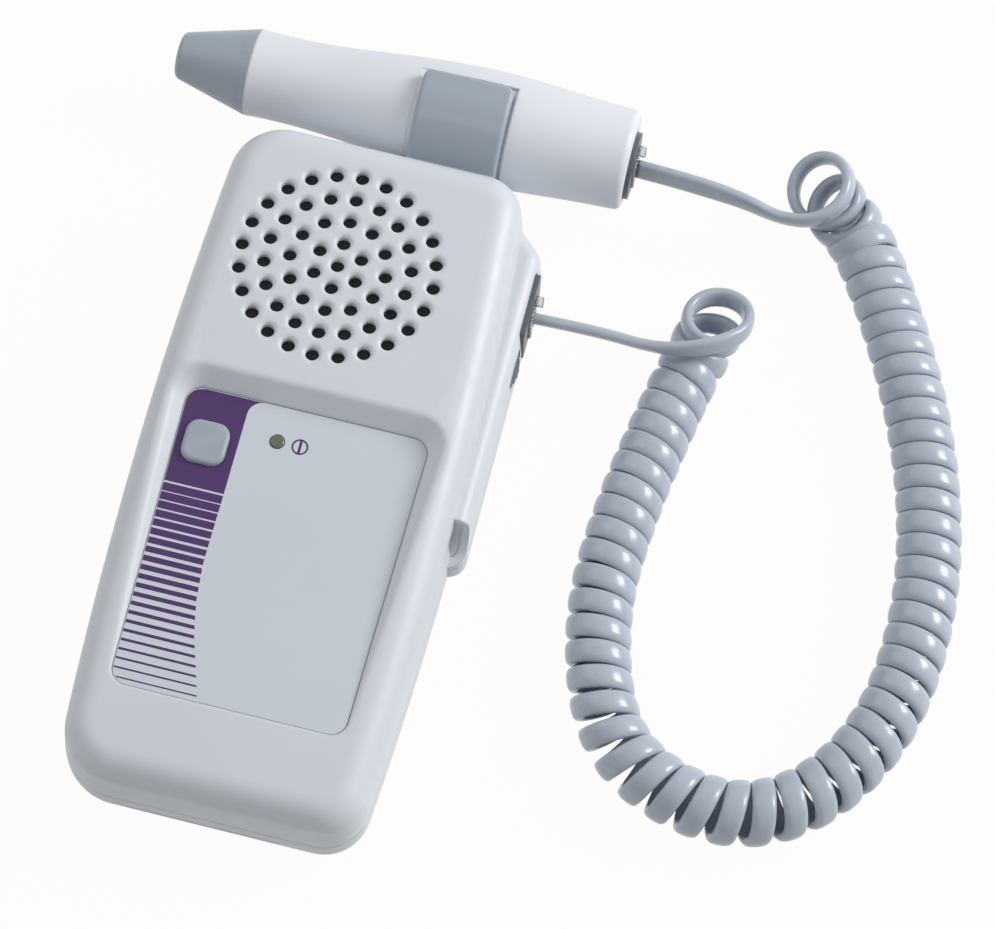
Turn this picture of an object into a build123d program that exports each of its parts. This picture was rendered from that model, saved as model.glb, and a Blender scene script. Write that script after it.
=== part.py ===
from build123d import *
from math import cos, radians, sin, tan
import os

os.makedirs("parts", exist_ok=True)

# Handheld fetal heartbeat monitor with a clipped-on probe and a curly cord, in millimetres.
# The origin is the centre of the flat back. The front face looks along +Z, the probe end
# is +Y, and the side with the sockets is +X. A "drop" runs down from the probe end of the
# housing, and a "rise" runs up from its battery end.

# ------------------------------------------------------------------ driving dimensions
# Housing
length = 144.0
half_mid = 32.8
half_top = 30.9
half_bottom = 30.4
right_fuller = 1.1
right_foot_fuller = 0.6
left_top_tuck = 0.9
widest_drop = 78.0
corner_radius = 9.5
left_corner_radius = 12.0
wall = 2.2
seam = 12.0
face = 30.0
foot_face = 25.2
shoulder_drop = 57.0
front_edge_radius = 6.0
back_edge_radius = 8.5
draft = 3.5
shoulder_wall = 2.3
step_rise = 8.0
cut_over = 1.0
root = 0.5

# Label and its pocket
label_drop = 60.8
label_rise = 19.0
label_side_top = 5.9
label_side_bottom = 6.7
label_corner = 3.4
label_face = 26.0
label_thick = 0.4
label_gap = 0.2
label_sunk = 0.2
pocket_angle = 44.4
crest_radius = 1.8
crest_span = 6.0

# Side boss that holds the socket and the volume wheel
boss_x = 37.0
boss_drop = 8.0
boss_shoulder_x = 31.2
boss_shoulder_drop = 13.5
boss_length = 73.5
boss_inner = 24.0
boss_front = 22.5
boss_back = 5.5
boss_corner_radius = 4.0
boss_edge_radius = 3.0
boss_foot_run = 7.0
boss_foot_rise = 1.2
boss_foot_sag = 3.0

# Loudspeaker and its grille
speaker_x = -2.5
speaker_drop = 29.5
ring_step = 5.0
ring_count = 4
hole_radius = 1.4
hole_rim = 0.9
speaker_radius = 23.4
surround_width = 2.4
speaker_depth = 15.4
speaker_gap = 0.15
ring_wall = 1.35
ring_height = 3.4
flange_thick = 1.6
gasket_thick = 0.6
gasket_width = 1.6
cloth_thick = 0.4
cloth_gap = 0.1
magnet_radius = 12.6
magnet_thick = 4.5
yoke_thick = 1.0
yoke_inset = 0.8
pole_radius = 5.6
coil_gap = 1.6
top_plate = 1.2
basket_wall = 1.2
window_width = 9.0
window_length = 13.0
former_gap = 0.45
cone_thick = 0.5
cone_roll = 1.3
cap_rise = 1.6

# Main board and what it carries
board_bottom = 8.4
board_thick = 1.6
board_margin = 0.7
board_drop = 16.0
board_snap_gap = 2.0
board_side_gap = 0.5
board_tab_length = 30.0
post_radius = 2.6
pilot_radius = 0.9
pilot_depth = 5.0
post_side_low = 3.5
post_side_high = 9.0
post_rise = 5.0
post_drop = 4.0
board_hole = 1.3
board_screw_head = 2.1
board_screw_cap = 1.3
board_screw_length = 5.6
chip_width = 8.0
chip_depth = 6.0
chip_height = 1.4
capacitor_radius = 2.5
capacitor_height = 7.0
capacitor_edge = 0.5

# Power button and lamp
button_x = -18.6
button_drop = 11.4
button_width = 9.0
button_height = 9.25
button_corner = 2.8
button_edge = 0.9
button_proud = 1.2
button_travel = 0.8
button_gap = 0.25
button_flange = 1.2
flange_gap = 0.2
stem_width = 4.0
stem_thick = 1.4
switch_side = 6.0
switch_height = 3.4
plunger_radius = 1.75
plunger_height = 1.0
plunger_sunk = 0.3
switch_well = 0.4
lamp_x = -4.8
lamp_drop = 7.5
lamp_radius = 1.5
lamp_gap = 0.1
lamp_proud = 0.25
lamp_edge = 0.5
lamp_length = 3.4
lamp_rim = 0.4
lamp_rim_thick = 1.0
lamp_leg = 0.5
lamp_leg_pitch = 1.27

# Volume wheel
wheel_radius = 7.5
wheel_thick = 2.8
wheel_proud = 0.55
wheel_drop = 37.1
wheel_gap = 0.4
wheel_shaft = 1.5
running_gap = 0.05
knurl_count = 36
knurl_radius = 0.35
knurl_rise = 0.15
pot_side = 8.0
pot_height = 3.2
pot_corner = 1.0
shaft_sunk = 0.2

# Battery, its snap and its door
battery_width = 26.5
battery_length = 48.5
battery_height = 17.5
battery_rise = 7.0
battery_corner = 0.8
battery_floor_gap = 0.3
battery_side_gap = 0.4
terminal_height = 2.6
terminal_radius = 2.9
terminal_pitch = 12.7
snap_gap = 0.3
snap_hole_gap = 0.1
snap_side = 1.25
snap_end = 2.75
snap_corner = 3.0
snap_thick = 1.6
door_half = 15.5
door_tongue = 1.4
door_over = 2.5
door_lip = 8.0
door_gap = 0.2
door_recess = 0.15
door_overrun = 5.0
thumb_drop = 10.0
thumb_width = 16.0
thumb_slot = 1.2
thumb_pitch = 2.4
thumb_count = 5
thumb_depth = 0.6
rib_thick = 1.4
rib_foot = 3.0
rib_end = 4.0
rib_spread = 12.0

# Wires
wire_radius = 0.6
wire_rise = 3.5
wire_reach = 4.5
wire_bend = 2.0
wire_spread = 12.0
speaker_wire_radius = 0.48
speaker_wire_spread = 2.8
speaker_wire_reach = 2.6
speaker_wire_drop = 2.4
speaker_wire_bend = 1.2

# Case screws
screw_x = 22.0
screw_rise = 12.0
screw_drop = 8.5
screw_radius = 1.25
screw_gap = 0.2
screw_head = 2.7
screw_head_thick = 2.2
screw_sunk = 0.8
screw_length = 17.0
screw_room = 3.0
screw_slot = 3.2
screw_slot_width = 0.7
screw_slot_depth = 1.0
case_post = 4.2
post_step = 0.6

# Probe
probe_z = 15.0
probe_left = -48.6
probe_joint = -32.6
probe_right = 48.9
tip_end_radius = 4.8
tip_edge = 1.4
tip_wall = 1.1
joint_radius = 9.2
belly_radius = 12.0
bore_radius = 7.6
probe_end_wall = 2.4
probe_end_edge = 1.6
groove_left = 2.6
groove_right = 23.3
groove_reach = 5.0
groove_radius = 11.2
spigot_length = 6.0
spigot_gap = 0.2
spigot_wall = 1.4
tip_step = 2.0
lens_thick = 0.8
lens_gap = 0.05
crystal_thick = 0.6
crystal_gap = 0.1
crystal_split = 0.6
backing_length = 8.0
probe_board_gap = 1.0
probe_board_side = 0.3
probe_board_thick = 1.2
probe_chip_depth = 5.0
probe_chip_height = 1.3
crystal_wire_radius = 0.45
crystal_wire_spread = 4.0
jack_wire_radius = 0.4
jack_wire_pitch = 2.0

# Clip that holds the probe
clip_left = 3.7
clip_right = 22.7
clip_gap = 0.4
clip_thick = 2.2
clip_web = 3.3
clip_web_length = 5.0
clip_web_height = 9.0
clip_web_rise = 0.5
clip_reach = 3.9
clip_lower_reach = 2.6
clip_corner = 1.8
clip_screw_head = 2.3
clip_screw_head_thick = 1.8
clip_screw_bite = 2.4
clip_screw_room = 0.2
clip_screw_gap = 0.15
clip_screw_rise = 2.0
clip_screw_pitch = 10.0
clip_edge = 0.9

# Modular plugs and jacks: across the cable is W, towards the latch is L
plug_width = 7.6
plug_depth = 5.8
plug_length = 11.0
plug_tail = 0.6
plug_edge = 0.4
jack_gap = 0.2
jack_length = 13.6
jack_wall = 0.8
unit_plate_proud = 0.3
probe_plate_proud = 1.0
probe_socket_shift = 1.0
unit_plate_length = 14.5
unit_plate_width = 11.6
unit_plate_corner = 0.8
plate_gap = 0.15
plate_seat = 1.0
probe_plate_radius = 7.1
jack_drop = 24.55
jack_z = 15.0
latch_rise = 1.7
latch_width = 3.2
latch_tail = 1.0
latch_slit = 0.6
latch_root = 3.0
latch_edge = 0.3
nose = 1.0
cable_slot_gap = 0.1
cable_slot_depth = 4.0
contact_pitch = 1.27
contact_thick = 0.4
contact_height = 1.0
contact_length = 3.0
contact_nose = 0.7
contact_gap = 0.1
spring_length = 8.0

# Curly cord
cord_width = 4.8
cord_thick = 2.4
cord_offset = -0.4
cord_seat = 3.6
coil_diameter = 13.5
floor_gap = 0.05

# ------------------------------------------------------------------ places worked out
end_y = length / 2
widest_y = end_y - widest_drop
shoulder_y = end_y - shoulder_drop
label_top = end_y - label_drop
label_bottom = label_rise - end_y
label_half_top = half_top - label_side_top
label_half_bottom = half_bottom - label_side_bottom
boss_top = end_y - boss_drop
boss_shoulder_y = end_y - boss_shoulder_drop
boss_bottom = boss_top - boss_length
speaker_y = end_y - speaker_drop
surround_radius = speaker_radius - surround_width
button_y = label_top - button_drop
lamp_y = label_top - lamp_drop
wheel_y = end_y - wheel_drop
jack_y = end_y - jack_drop

battery_low = battery_rise - end_y
battery_high = battery_low + battery_length
battery_middle = (battery_low + battery_high) / 2
battery_bottom = wall + battery_floor_gap
battery_top = battery_bottom + battery_height
terminal_z = battery_bottom + battery_height / 2
terminal_places = [(side * terminal_pitch / 2, terminal_z) for side in (-1, 1)]
snap_front = battery_high + snap_gap
snap_back = snap_front + terminal_height + snap_thick
door_top = battery_high + door_over
rib_x = battery_width / 2 + battery_side_gap + rib_thick / 2

board_top = board_bottom + board_thick
board_half = half_top - wall - board_margin
board_low = snap_back + board_snap_gap
board_high = end_y - board_drop
board_tab_low = board_high - board_tab_length
pocket_floor = label_face - label_thick
slope_height = face + cut_over - label_face - label_sunk
panel_ceiling = pocket_floor - wall
bay_ceiling = face - wall
bay_low = shoulder_y + wall
step_z = seam + step_rise
step_inset = wall + shoulder_wall
cavity_x = boss_x - wall

plug_low = cord_offset - plug_depth / 2
plug_high = plug_low + plug_depth
latch_top = plug_high + latch_rise
jack_body_low = plug_low - jack_gap - jack_wall
jack_body_high = latch_top + jack_gap + jack_wall / 2
jack_body_half = plug_width / 2 + jack_gap + jack_wall

wheel_x = boss_x + wheel_proud - wheel_radius
wheel_low = board_top + pot_height + wheel_gap

probe_y = end_y + clip_web + clip_gap + groove_radius
clip_middle = (clip_left + clip_right) / 2
clip_inner = groove_radius + clip_gap
clip_outer = clip_inner + clip_thick
clip_screw_z = probe_z + clip_screw_rise
clip_screw_points = [
    (clip_middle + side * clip_screw_pitch / 2, clip_screw_z) for side in (-1, 1)
]

# Grille holes: one in the middle, then six more in every ring
grille_points = [(speaker_x, speaker_y)]
for ring in range(1, ring_count + 1):
    for step in range(6 * ring):
        turn = radians(90 + 60 * step / ring)
        radius = ring * ring_step
        grille_points.append((speaker_x + radius * cos(turn), speaker_y + radius * sin(turn)))

case_points = [
    (side * screw_x, y) for side in (-1, 1) for y in (screw_rise - end_y, end_y - screw_drop)
]
board_points = []
for side in (-1, 1):
    board_points.append((side * (board_half - post_side_low), board_low + post_rise))
    board_points.append((side * (board_half - post_side_high), board_high - post_drop))


# ------------------------------------------------------------------ housing shapes
def outline(inset=0.0):
    """Plan of the housing, drawn in by inset all round."""
    with BuildSketch() as plan:
        with BuildLine():
            ThreePointArc(
                (half_bottom + right_foot_fuller, -end_y),
                (half_mid + right_fuller, widest_y),
                (half_top, end_y),
            )
            Line((half_top, end_y), (left_top_tuck - half_top, end_y))
            ThreePointArc(
                (left_top_tuck - half_top, end_y),
                (-half_mid, widest_y),
                (-half_bottom, -end_y),
            )
            Line((-half_bottom, -end_y), (half_bottom + right_foot_fuller, -end_y))
        make_face()
        fillet(plan.vertices().filter_by(lambda v: v.X > 0), corner_radius)
        fillet(plan.vertices().sort_by(Axis.X)[:2], left_corner_radius)
        if inset:
            offset(amount=-inset, mode=Mode.REPLACE)
    return plan.sketch


def boss_plan(inset=0.0):
    """Plan of the side boss, with its root inside the housing."""
    with BuildSketch() as plan:
        with BuildLine():
            Polyline(
                (boss_inner, boss_bottom),
                (boss_x, boss_bottom),
                (boss_x, boss_shoulder_y),
                (boss_shoulder_x, boss_top),
                (boss_inner, boss_top),
                close=True,
            )
        make_face()
        corners = plan.vertices().filter_by(lambda v: v.X > boss_inner + wall)
        fillet(corners, boss_corner_radius)
        if inset:
            offset(amount=-inset, mode=Mode.REPLACE)
    return plan.sketch


def label_plan(grow=0.0):
    """Plan of the front label, which narrows a little towards its lower edge."""
    with BuildSketch() as plan:
        with BuildLine():
            Polyline(
                (label_half_top, label_top),
                (-label_half_top, label_top),
                (-label_half_bottom, label_bottom),
                (label_half_bottom, label_bottom),
                close=True,
            )
        make_face()
        fillet(plan.vertices(), label_corner)
        if grow:
            offset(amount=grow, mode=Mode.REPLACE)
    return plan.sketch


def button_plan(grow=0.0):
    """Plan of the power button, a soft rounded square."""
    with BuildSketch() as plan:
        with Locations((button_x, button_y)):
            RectangleRounded(
                button_width + 2 * grow, button_height + 2 * grow, button_corner + grow
            )
    return plan.sketch


def unit_jack_space():
    """Space of the unit's socket: an opening for its block and a seat for its plate."""
    with BuildPart() as space:
        with BuildSketch(Plane.YZ.offset(cavity_x - cut_over)):
            with Locations((jack_y + (jack_body_low + jack_body_high) / 2, jack_z)):
                Rectangle(
                    jack_body_high - jack_body_low + 2 * plate_gap,
                    2 * (jack_z - board_top + plate_gap),
                )
        extrude(amount=wall + cut_over)
        with BuildSketch(Plane.YZ.offset(boss_x - plate_seat)):
            with Locations((jack_y, jack_z)):
                RectangleRounded(
                    unit_plate_length + 2 * plate_gap,
                    unit_plate_width + 2 * plate_gap,
                    unit_plate_corner + plate_gap,
                )
        extrude(amount=plate_seat + cut_over)
    return space.part


def tub(inset=0.0):
    """Rear half of the housing as a solid, or its hollow when drawn in."""
    with BuildPart() as half:
        with BuildSketch(Plane.XY.offset(inset)):
            add(outline(inset))
        extrude(amount=seam - inset)
        fillet(half.edges().group_by(Axis.Z)[0], back_edge_radius - inset)
    return half.part


# ------------------------------------------------------------------ front shell
with BuildPart() as front_block:
    with BuildSketch(Plane.XY.offset(seam)):
        add(outline())
    extrude(amount=face - seam, taper=draft)
    with BuildSketch(Plane.YZ):
        with BuildLine():
            Polyline(
                (shoulder_y, face),
                (-end_y - cut_over, foot_face),
                (-end_y - cut_over, face + cut_over),
                (shoulder_y, face + cut_over),
                close=True,
            )
        make_face()
    extrude(amount=half_mid + wall, both=True, mode=Mode.SUBTRACT)
    lids = front_block.faces().filter_by(lambda f: f.normal_at().Z > 0.9)
    rim = lids.edges().filter_by(
        lambda e: not (abs(e.center().Y - shoulder_y) < 0.1 and e.length > half_mid)
    )
    fillet(rim, front_edge_radius)

with BuildPart() as boss_front_block:
    with BuildSketch(Plane.XY.offset(seam)):
        add(boss_plan())
    extrude(amount=boss_front - seam, taper=draft)
    boss_rim = boss_front_block.faces().sort_by(Axis.Z)[-1].edges()
    fillet(boss_rim.filter_by(lambda e: e.center().X > boss_inner + wall), boss_edge_radius)
    # hollow slope that runs out into the foot of the boss
    foot_start = (boss_bottom - cut_over, seam + boss_foot_rise)
    foot_end = (boss_bottom + boss_foot_run, boss_front + cut_over)
    with BuildSketch(Plane.YZ.offset(boss_inner - cut_over)):
        with BuildLine():
            foot_arc = SagittaArc(foot_start, foot_end, -boss_foot_sag)
            Polyline(foot_end, (boss_bottom - cut_over, boss_front + cut_over), foot_start)
        make_face()
    extrude(amount=boss_x - boss_inner + 2 * cut_over, mode=Mode.SUBTRACT)

# One grille hole, flared at the front
with BuildPart() as grille_cutter:
    with BuildSketch(Plane.XZ):
        with BuildLine():
            Polyline(
                (hole_radius, face - hole_rim),
                (hole_radius, bay_ceiling - root),
                (0, bay_ceiling - root),
                (0, face + root),
                (hole_radius + hole_rim, face + root),
                (hole_radius + hole_rim, face),
            )
            RadiusArc((hole_radius + hole_rim, face), (hole_radius, face - hole_rim), -hole_rim)
        make_face()
    revolve(axis=Axis.Z)

with BuildPart() as front_shell:
    add(front_block.part)
    add(boss_front_block.part)
    # pocket for the label, with sloping sides and a soft upper crest
    with BuildSketch(Plane.XY.offset(pocket_floor)):
        add(label_plan(label_gap))
    extrude(amount=label_thick + label_sunk, mode=Mode.SUBTRACT)
    with BuildSketch(Plane.XY.offset(label_face + label_sunk)):
        add(label_plan(label_gap))
    extrude(amount=slope_height, taper=-pocket_angle, mode=Mode.SUBTRACT)
    slopes = front_shell.faces().filter_by(
        lambda f: abs(f.normal_at().Z - sin(radians(pocket_angle))) < 0.006
    )
    rim_z = label_face + 2 * label_sunk
    crest = slopes.edges().filter_by(lambda e: min((e @ 0).Z, (e @ 1).Z) > rim_z)
    fillet(crest.filter_by(lambda e: e.center().Y > label_top - crest_span), crest_radius)
    # hollow, stepped in above the straight part of the wall, with room for the loudspeaker
    with BuildSketch(Plane.XY.offset(seam)):
        add(outline(wall))
    extrude(amount=step_z - seam, taper=draft, mode=Mode.SUBTRACT)
    with BuildSketch(Plane.XY.offset(step_z)):
        add(outline(step_inset))
    extrude(amount=panel_ceiling - step_z, mode=Mode.SUBTRACT)
    with BuildSketch(Plane.XY.offset(panel_ceiling)):
        add(outline(step_inset))
        with Locations((0, bay_low + length / 2)):
            Rectangle(4 * half_mid, length, mode=Mode.INTERSECT)
        with Locations((speaker_x, speaker_y)):
            Circle(speaker_radius + speaker_gap + ring_wall)
    extrude(amount=bay_ceiling - panel_ceiling, mode=Mode.SUBTRACT)
    with BuildSketch(Plane.XY.offset(seam)):
        add(boss_plan(wall))
    extrude(amount=boss_front - wall - seam, mode=Mode.SUBTRACT)
    # screw posts
    with BuildSketch(Plane.XY.offset(seam)):
        with Locations(*case_points):
            Circle(case_post - post_step)
    extrude(amount=panel_ceiling + root - seam)
    with BuildSketch(Plane.XY.offset(panel_ceiling)):
        with Locations(*[p for p in case_points if p[1] > 0]):
            Circle(case_post - post_step)
    extrude(amount=bay_ceiling + root - panel_ceiling)
    with BuildSketch(Plane.XY.offset(seam)):
        with Locations(*case_points):
            Circle(screw_radius + running_gap)
    extrude(amount=screw_length - seam + screw_room, mode=Mode.SUBTRACT)
    # ribs that hold the battery
    with BuildSketch(Plane.XY.offset(wall + rib_foot)):
        with Locations((rib_x, battery_middle), (-rib_x, battery_middle)):
            Rectangle(rib_thick, battery_length - 2 * rib_end)
    extrude(amount=panel_ceiling + root - wall - rib_foot)
    with BuildSketch(Plane.XY.offset(battery_top + battery_floor_gap)):
        with Locations((0, battery_middle - rib_spread), (0, battery_middle + rib_spread)):
            Rectangle(2 * rib_x, rib_thick)
    extrude(amount=panel_ceiling + root - battery_top - battery_floor_gap)
    # ring that centres the loudspeaker
    with BuildSketch(Plane.XY.offset(bay_ceiling - ring_height)):
        with Locations((speaker_x, speaker_y)):
            Circle(speaker_radius + speaker_gap + ring_wall)
            Circle(speaker_radius + speaker_gap, mode=Mode.SUBTRACT)
    extrude(amount=ring_height + root)
    # grille holes with soft rims
    with Locations(*grille_points):
        add(grille_cutter.part, mode=Mode.SUBTRACT)
    # openings for the button, the lamp, the wheel, the socket and the clip's screws
    with BuildSketch(Plane.XY.offset(panel_ceiling - cut_over)):
        add(button_plan(button_gap))
        with Locations((lamp_x, lamp_y)):
            Circle(lamp_radius + lamp_gap)
    extrude(amount=wall + 2 * cut_over, mode=Mode.SUBTRACT)
    with BuildSketch(Plane.XY.offset(wheel_low - wheel_gap)):
        with Locations((wheel_x, wheel_y)):
            Circle(wheel_radius + wheel_gap)
    extrude(amount=wheel_thick + 2 * wheel_gap, mode=Mode.SUBTRACT)
    add(unit_jack_space(), mode=Mode.SUBTRACT)
    with BuildSketch(Plane.XZ.offset(wall + cut_over - end_y)):
        with Locations(*clip_screw_points):
            Circle(screw_radius + clip_screw_gap)
    extrude(amount=-wall - 2 * cut_over, mode=Mode.SUBTRACT)
front_shell.part.label = "front_shell"
export_step(front_shell.part, "parts/front_shell.step")

# ------------------------------------------------------------------ rear shell and battery door
with BuildPart() as boss_back_block:
    with BuildSketch(Plane.XY.offset(boss_back)):
        add(boss_plan())
    extrude(amount=seam - boss_back)
    boss_foot = boss_back_block.faces().sort_by(Axis.Z)[0].edges()
    fillet(boss_foot.filter_by(lambda e: e.center().X > boss_inner + wall), boss_edge_radius)


def door_space(gap):
    """Space of the battery door: a plate with a turned-up end, and a tongue at each side."""
    plate_end = -end_y - door_overrun
    plate_length = door_top + gap - plate_end
    lip_length = back_edge_radius + door_overrun
    with BuildPart() as space:
        with BuildSketch(Plane.XY.offset(-cut_over)):
            with Locations((0, plate_end + plate_length / 2)):
                Rectangle(2 * (door_half + gap), plate_length)
        extrude(amount=cut_over + wall + gap)
        with BuildSketch(Plane.XY.offset(-cut_over)):
            with Locations((0, plate_end + lip_length / 2)):
                Rectangle(2 * (door_half + gap), lip_length)
        extrude(amount=cut_over + door_lip + gap)
        with BuildSketch(Plane.XY.offset((wall - gap) / 2)):
            with Locations((0, plate_end + plate_length / 2)):
                Rectangle(2 * (door_half + door_tongue + gap), plate_length)
        extrude(amount=wall / 2 + gap)
    return space.part


with BuildPart() as rear_shell:
    add(tub())
    add(boss_back_block.part)
    add(tub(wall), mode=Mode.SUBTRACT)
    with BuildSketch(Plane.XY.offset(boss_back + wall)):
        add(boss_plan(wall))
    extrude(amount=seam - boss_back - wall, mode=Mode.SUBTRACT)
    # posts for the case screws and the board
    with BuildSketch(Plane.XY.offset(wall - root)):
        with Locations(*case_points):
            Circle(case_post)
    extrude(amount=seam - wall + root)
    with BuildSketch(Plane.XY.offset(wall - root)):
        with Locations(*board_points):
            Circle(post_radius)
    extrude(amount=board_bottom - wall + root)
    with BuildSketch(Plane.XY.offset(-cut_over)):
        with Locations(*case_points):
            Circle(screw_head + screw_gap)
    extrude(amount=cut_over + screw_sunk + screw_head_thick, mode=Mode.SUBTRACT)
    with BuildSketch(Plane.XY.offset(screw_head_thick)):
        with Locations(*case_points):
            Circle(screw_radius + screw_gap)
    extrude(amount=seam, mode=Mode.SUBTRACT)
    with BuildSketch(Plane.XY.offset(board_bottom - pilot_depth)):
        with Locations(*board_points):
            Circle(pilot_radius)
    extrude(amount=pilot_depth + cut_over, mode=Mode.SUBTRACT)
    # openings for the door and the socket
    add(door_space(door_gap), mode=Mode.SUBTRACT)
    add(unit_jack_space(), mode=Mode.SUBTRACT)
rear_shell.part.label = "rear_shell"
export_step(rear_shell.part, "parts/rear_shell.step")

with BuildPart() as battery_door:
    add(tub())
    add(tub(wall), mode=Mode.SUBTRACT)
    add(door_space(0.0), mode=Mode.INTERSECT)
    with BuildSketch(Plane.XY.offset(-cut_over)):
        Rectangle(4 * half_mid, 2 * length)
    extrude(amount=cut_over + door_recess, mode=Mode.SUBTRACT)
    # ridges for the thumb
    with BuildSketch(Plane.XY.offset(-cut_over)):
        with Locations((0, door_top - thumb_drop)):
            with GridLocations(0, thumb_pitch, 1, thumb_count):
                SlotOverall(thumb_width, thumb_slot)
    extrude(amount=cut_over + door_recess + thumb_depth, mode=Mode.SUBTRACT)
battery_door.part.label = "battery_door"
export_step(battery_door.part, "parts/battery_door.step")

with BuildPart() as case_screws:
    with BuildSketch(Plane.XY.offset(screw_sunk)):
        with Locations(*case_points):
            Circle(screw_head)
    extrude(amount=screw_head_thick)
    with BuildSketch(Plane.XY.offset(screw_sunk)):
        with Locations(*case_points):
            Circle(screw_radius)
    extrude(amount=screw_length)
    with BuildSketch(Plane.XY.offset(screw_sunk)):
        with Locations(*case_points):
            Rectangle(screw_slot, screw_slot_width)
            Rectangle(screw_slot_width, screw_slot)
    extrude(amount=screw_slot_depth, mode=Mode.SUBTRACT)
case_screws.part.label = "case_screws"
export_step(case_screws.part, "parts/case_screws.step")

# ------------------------------------------------------------------ label, button, switch, lamp
with BuildPart() as front_label:
    with BuildSketch(Plane.XY.offset(pocket_floor)):
        add(label_plan())
        add(button_plan(button_gap), mode=Mode.SUBTRACT)
        with Locations((lamp_x, lamp_y)):
            Circle(lamp_radius + lamp_gap, mode=Mode.SUBTRACT)
    extrude(amount=label_thick)
front_label.part.label = "front_label"
export_step(front_label.part, "parts/front_label.step")

switch_top = board_top + switch_height
button_top = label_face + button_proud
button_foot = switch_top + plunger_height
flange_top = panel_ceiling - flange_gap
with BuildPart() as power_button:
    with BuildSketch(Plane.XY.offset(flange_top)):
        add(button_plan())
    extrude(amount=button_top - flange_top)
    fillet(power_button.faces().sort_by(Axis.Z)[-1].edges(), button_edge)
    with BuildSketch(Plane.XY.offset(flange_top - button_flange)):
        add(button_plan(button_flange))
    extrude(amount=button_flange)
    with BuildSketch(Plane.XY.offset(button_foot)):
        with Locations((button_x, button_y)):
            Rectangle(stem_width, stem_thick)
            Rectangle(stem_thick, stem_width)
    extrude(amount=flange_top - button_flange - button_foot)
power_button.part.label = "power_button"
export_step(power_button.part, "parts/power_button.step")

with BuildPart() as power_switch:
    with BuildSketch(Plane.XY.offset(board_top)):
        with Locations((button_x, button_y)):
            Rectangle(switch_side, switch_side)
    extrude(amount=switch_height)
    with BuildSketch(Plane.XY.offset(switch_top - button_travel - switch_well)):
        with Locations((button_x, button_y)):
            Circle(plunger_radius + running_gap)
    extrude(amount=button_travel + switch_well, mode=Mode.SUBTRACT)
power_switch.part.label = "power_switch"
export_step(power_switch.part, "parts/power_switch.step")

with BuildPart() as switch_plunger:
    with BuildSketch(Plane.XY.offset(switch_top - plunger_sunk)):
        with Locations((button_x, button_y)):
            Circle(plunger_radius)
    extrude(amount=plunger_height + plunger_sunk)
switch_plunger.part.label = "switch_plunger"
export_step(switch_plunger.part, "parts/switch_plunger.step")

lamp_foot = pocket_floor - lamp_length
lamp_rim_low = lamp_foot - lamp_rim_thick
lamp_legs = [(lamp_x + side * lamp_leg_pitch / 2, lamp_y) for side in (-1, 1)]
with BuildPart() as status_lamp:
    with BuildSketch(Plane.XY.offset(lamp_foot)):
        with Locations((lamp_x, lamp_y)):
            Circle(lamp_radius)
    extrude(amount=label_face + lamp_proud - lamp_foot)
    fillet(status_lamp.faces().sort_by(Axis.Z)[-1].edges(), lamp_edge)
    with BuildSketch(Plane.XY.offset(lamp_rim_low)):
        with Locations((lamp_x, lamp_y)):
            Circle(lamp_radius + lamp_rim)
    extrude(amount=lamp_rim_thick)
    with BuildSketch(Plane.XY.offset(board_top)):
        with Locations(*lamp_legs):
            Rectangle(lamp_leg, lamp_leg)
    extrude(amount=lamp_rim_low - board_top)
status_lamp.part.label = "status_lamp"
export_step(status_lamp.part, "parts/status_lamp.step")

# ------------------------------------------------------------------ main board and what it carries
board_right = cavity_x - board_side_gap
with BuildPart() as main_board:
    with BuildSketch(Plane.XY.offset(board_bottom)):
        with Locations((0, (board_low + board_high) / 2)):
            Rectangle(2 * board_half, board_high - board_low)
        with Locations(((board_half + board_right) / 2, (board_tab_low + board_high) / 2)):
            Rectangle(board_right - board_half, board_high - board_tab_low)
        with Locations(*board_points):
            Circle(board_hole, mode=Mode.SUBTRACT)
    extrude(amount=board_thick)
main_board.part.label = "main_board"
export_step(main_board.part, "parts/main_board.step")

with BuildPart() as board_screws:
    with BuildSketch(Plane.XY.offset(board_top)):
        with Locations(*board_points):
            Circle(board_screw_head)
    extrude(amount=board_screw_cap)
    with BuildSketch(Plane.XY.offset(board_top - board_screw_length)):
        with Locations(*board_points):
            Circle(pilot_radius - running_gap)
    extrude(amount=board_screw_length)
board_screws.part.label = "board_screws"
export_step(board_screws.part, "parts/board_screws.step")

# Chips: place as a share of the board's half width and of its length, then size as a
# share of the main chip's
chip_places = [
    (-0.50, 0.36, 1.25, 1.17),
    (0.14, 0.33, 0.88, 1.17),
    (0.57, 0.24, 0.63, 1.33),
    (0.43, 0.45, 0.75, 0.67),
    (0.07, 0.12, 1.0, 0.67),
]
board_length = board_high - board_low
with BuildPart() as board_chips:
    for across, along, wide, deep in chip_places:
        with BuildSketch(Plane.XY.offset(board_top)):
            with Locations((across * board_half, board_low + along * board_length)):
                Rectangle(wide * chip_width, deep * chip_depth)
        extrude(amount=chip_height)
board_chips.part.label = "board_chips"
export_step(board_chips.part, "parts/board_chips.step")

capacitor_places = [
    (share * board_half, board_low + along * board_length)
    for share, along in ((0.79, 0.36), (0.79, 0.47), (-0.86, 0.27))
]
with BuildPart() as board_capacitors:
    with BuildSketch(Plane.XY.offset(board_top)):
        with Locations(*capacitor_places):
            Circle(capacitor_radius)
    extrude(amount=capacitor_height)
    fillet(board_capacitors.edges().group_by(Axis.Z)[-1], capacitor_edge)
board_capacitors.part.label = "board_capacitors"
export_step(board_capacitors.part, "parts/board_capacitors.step")

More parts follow.
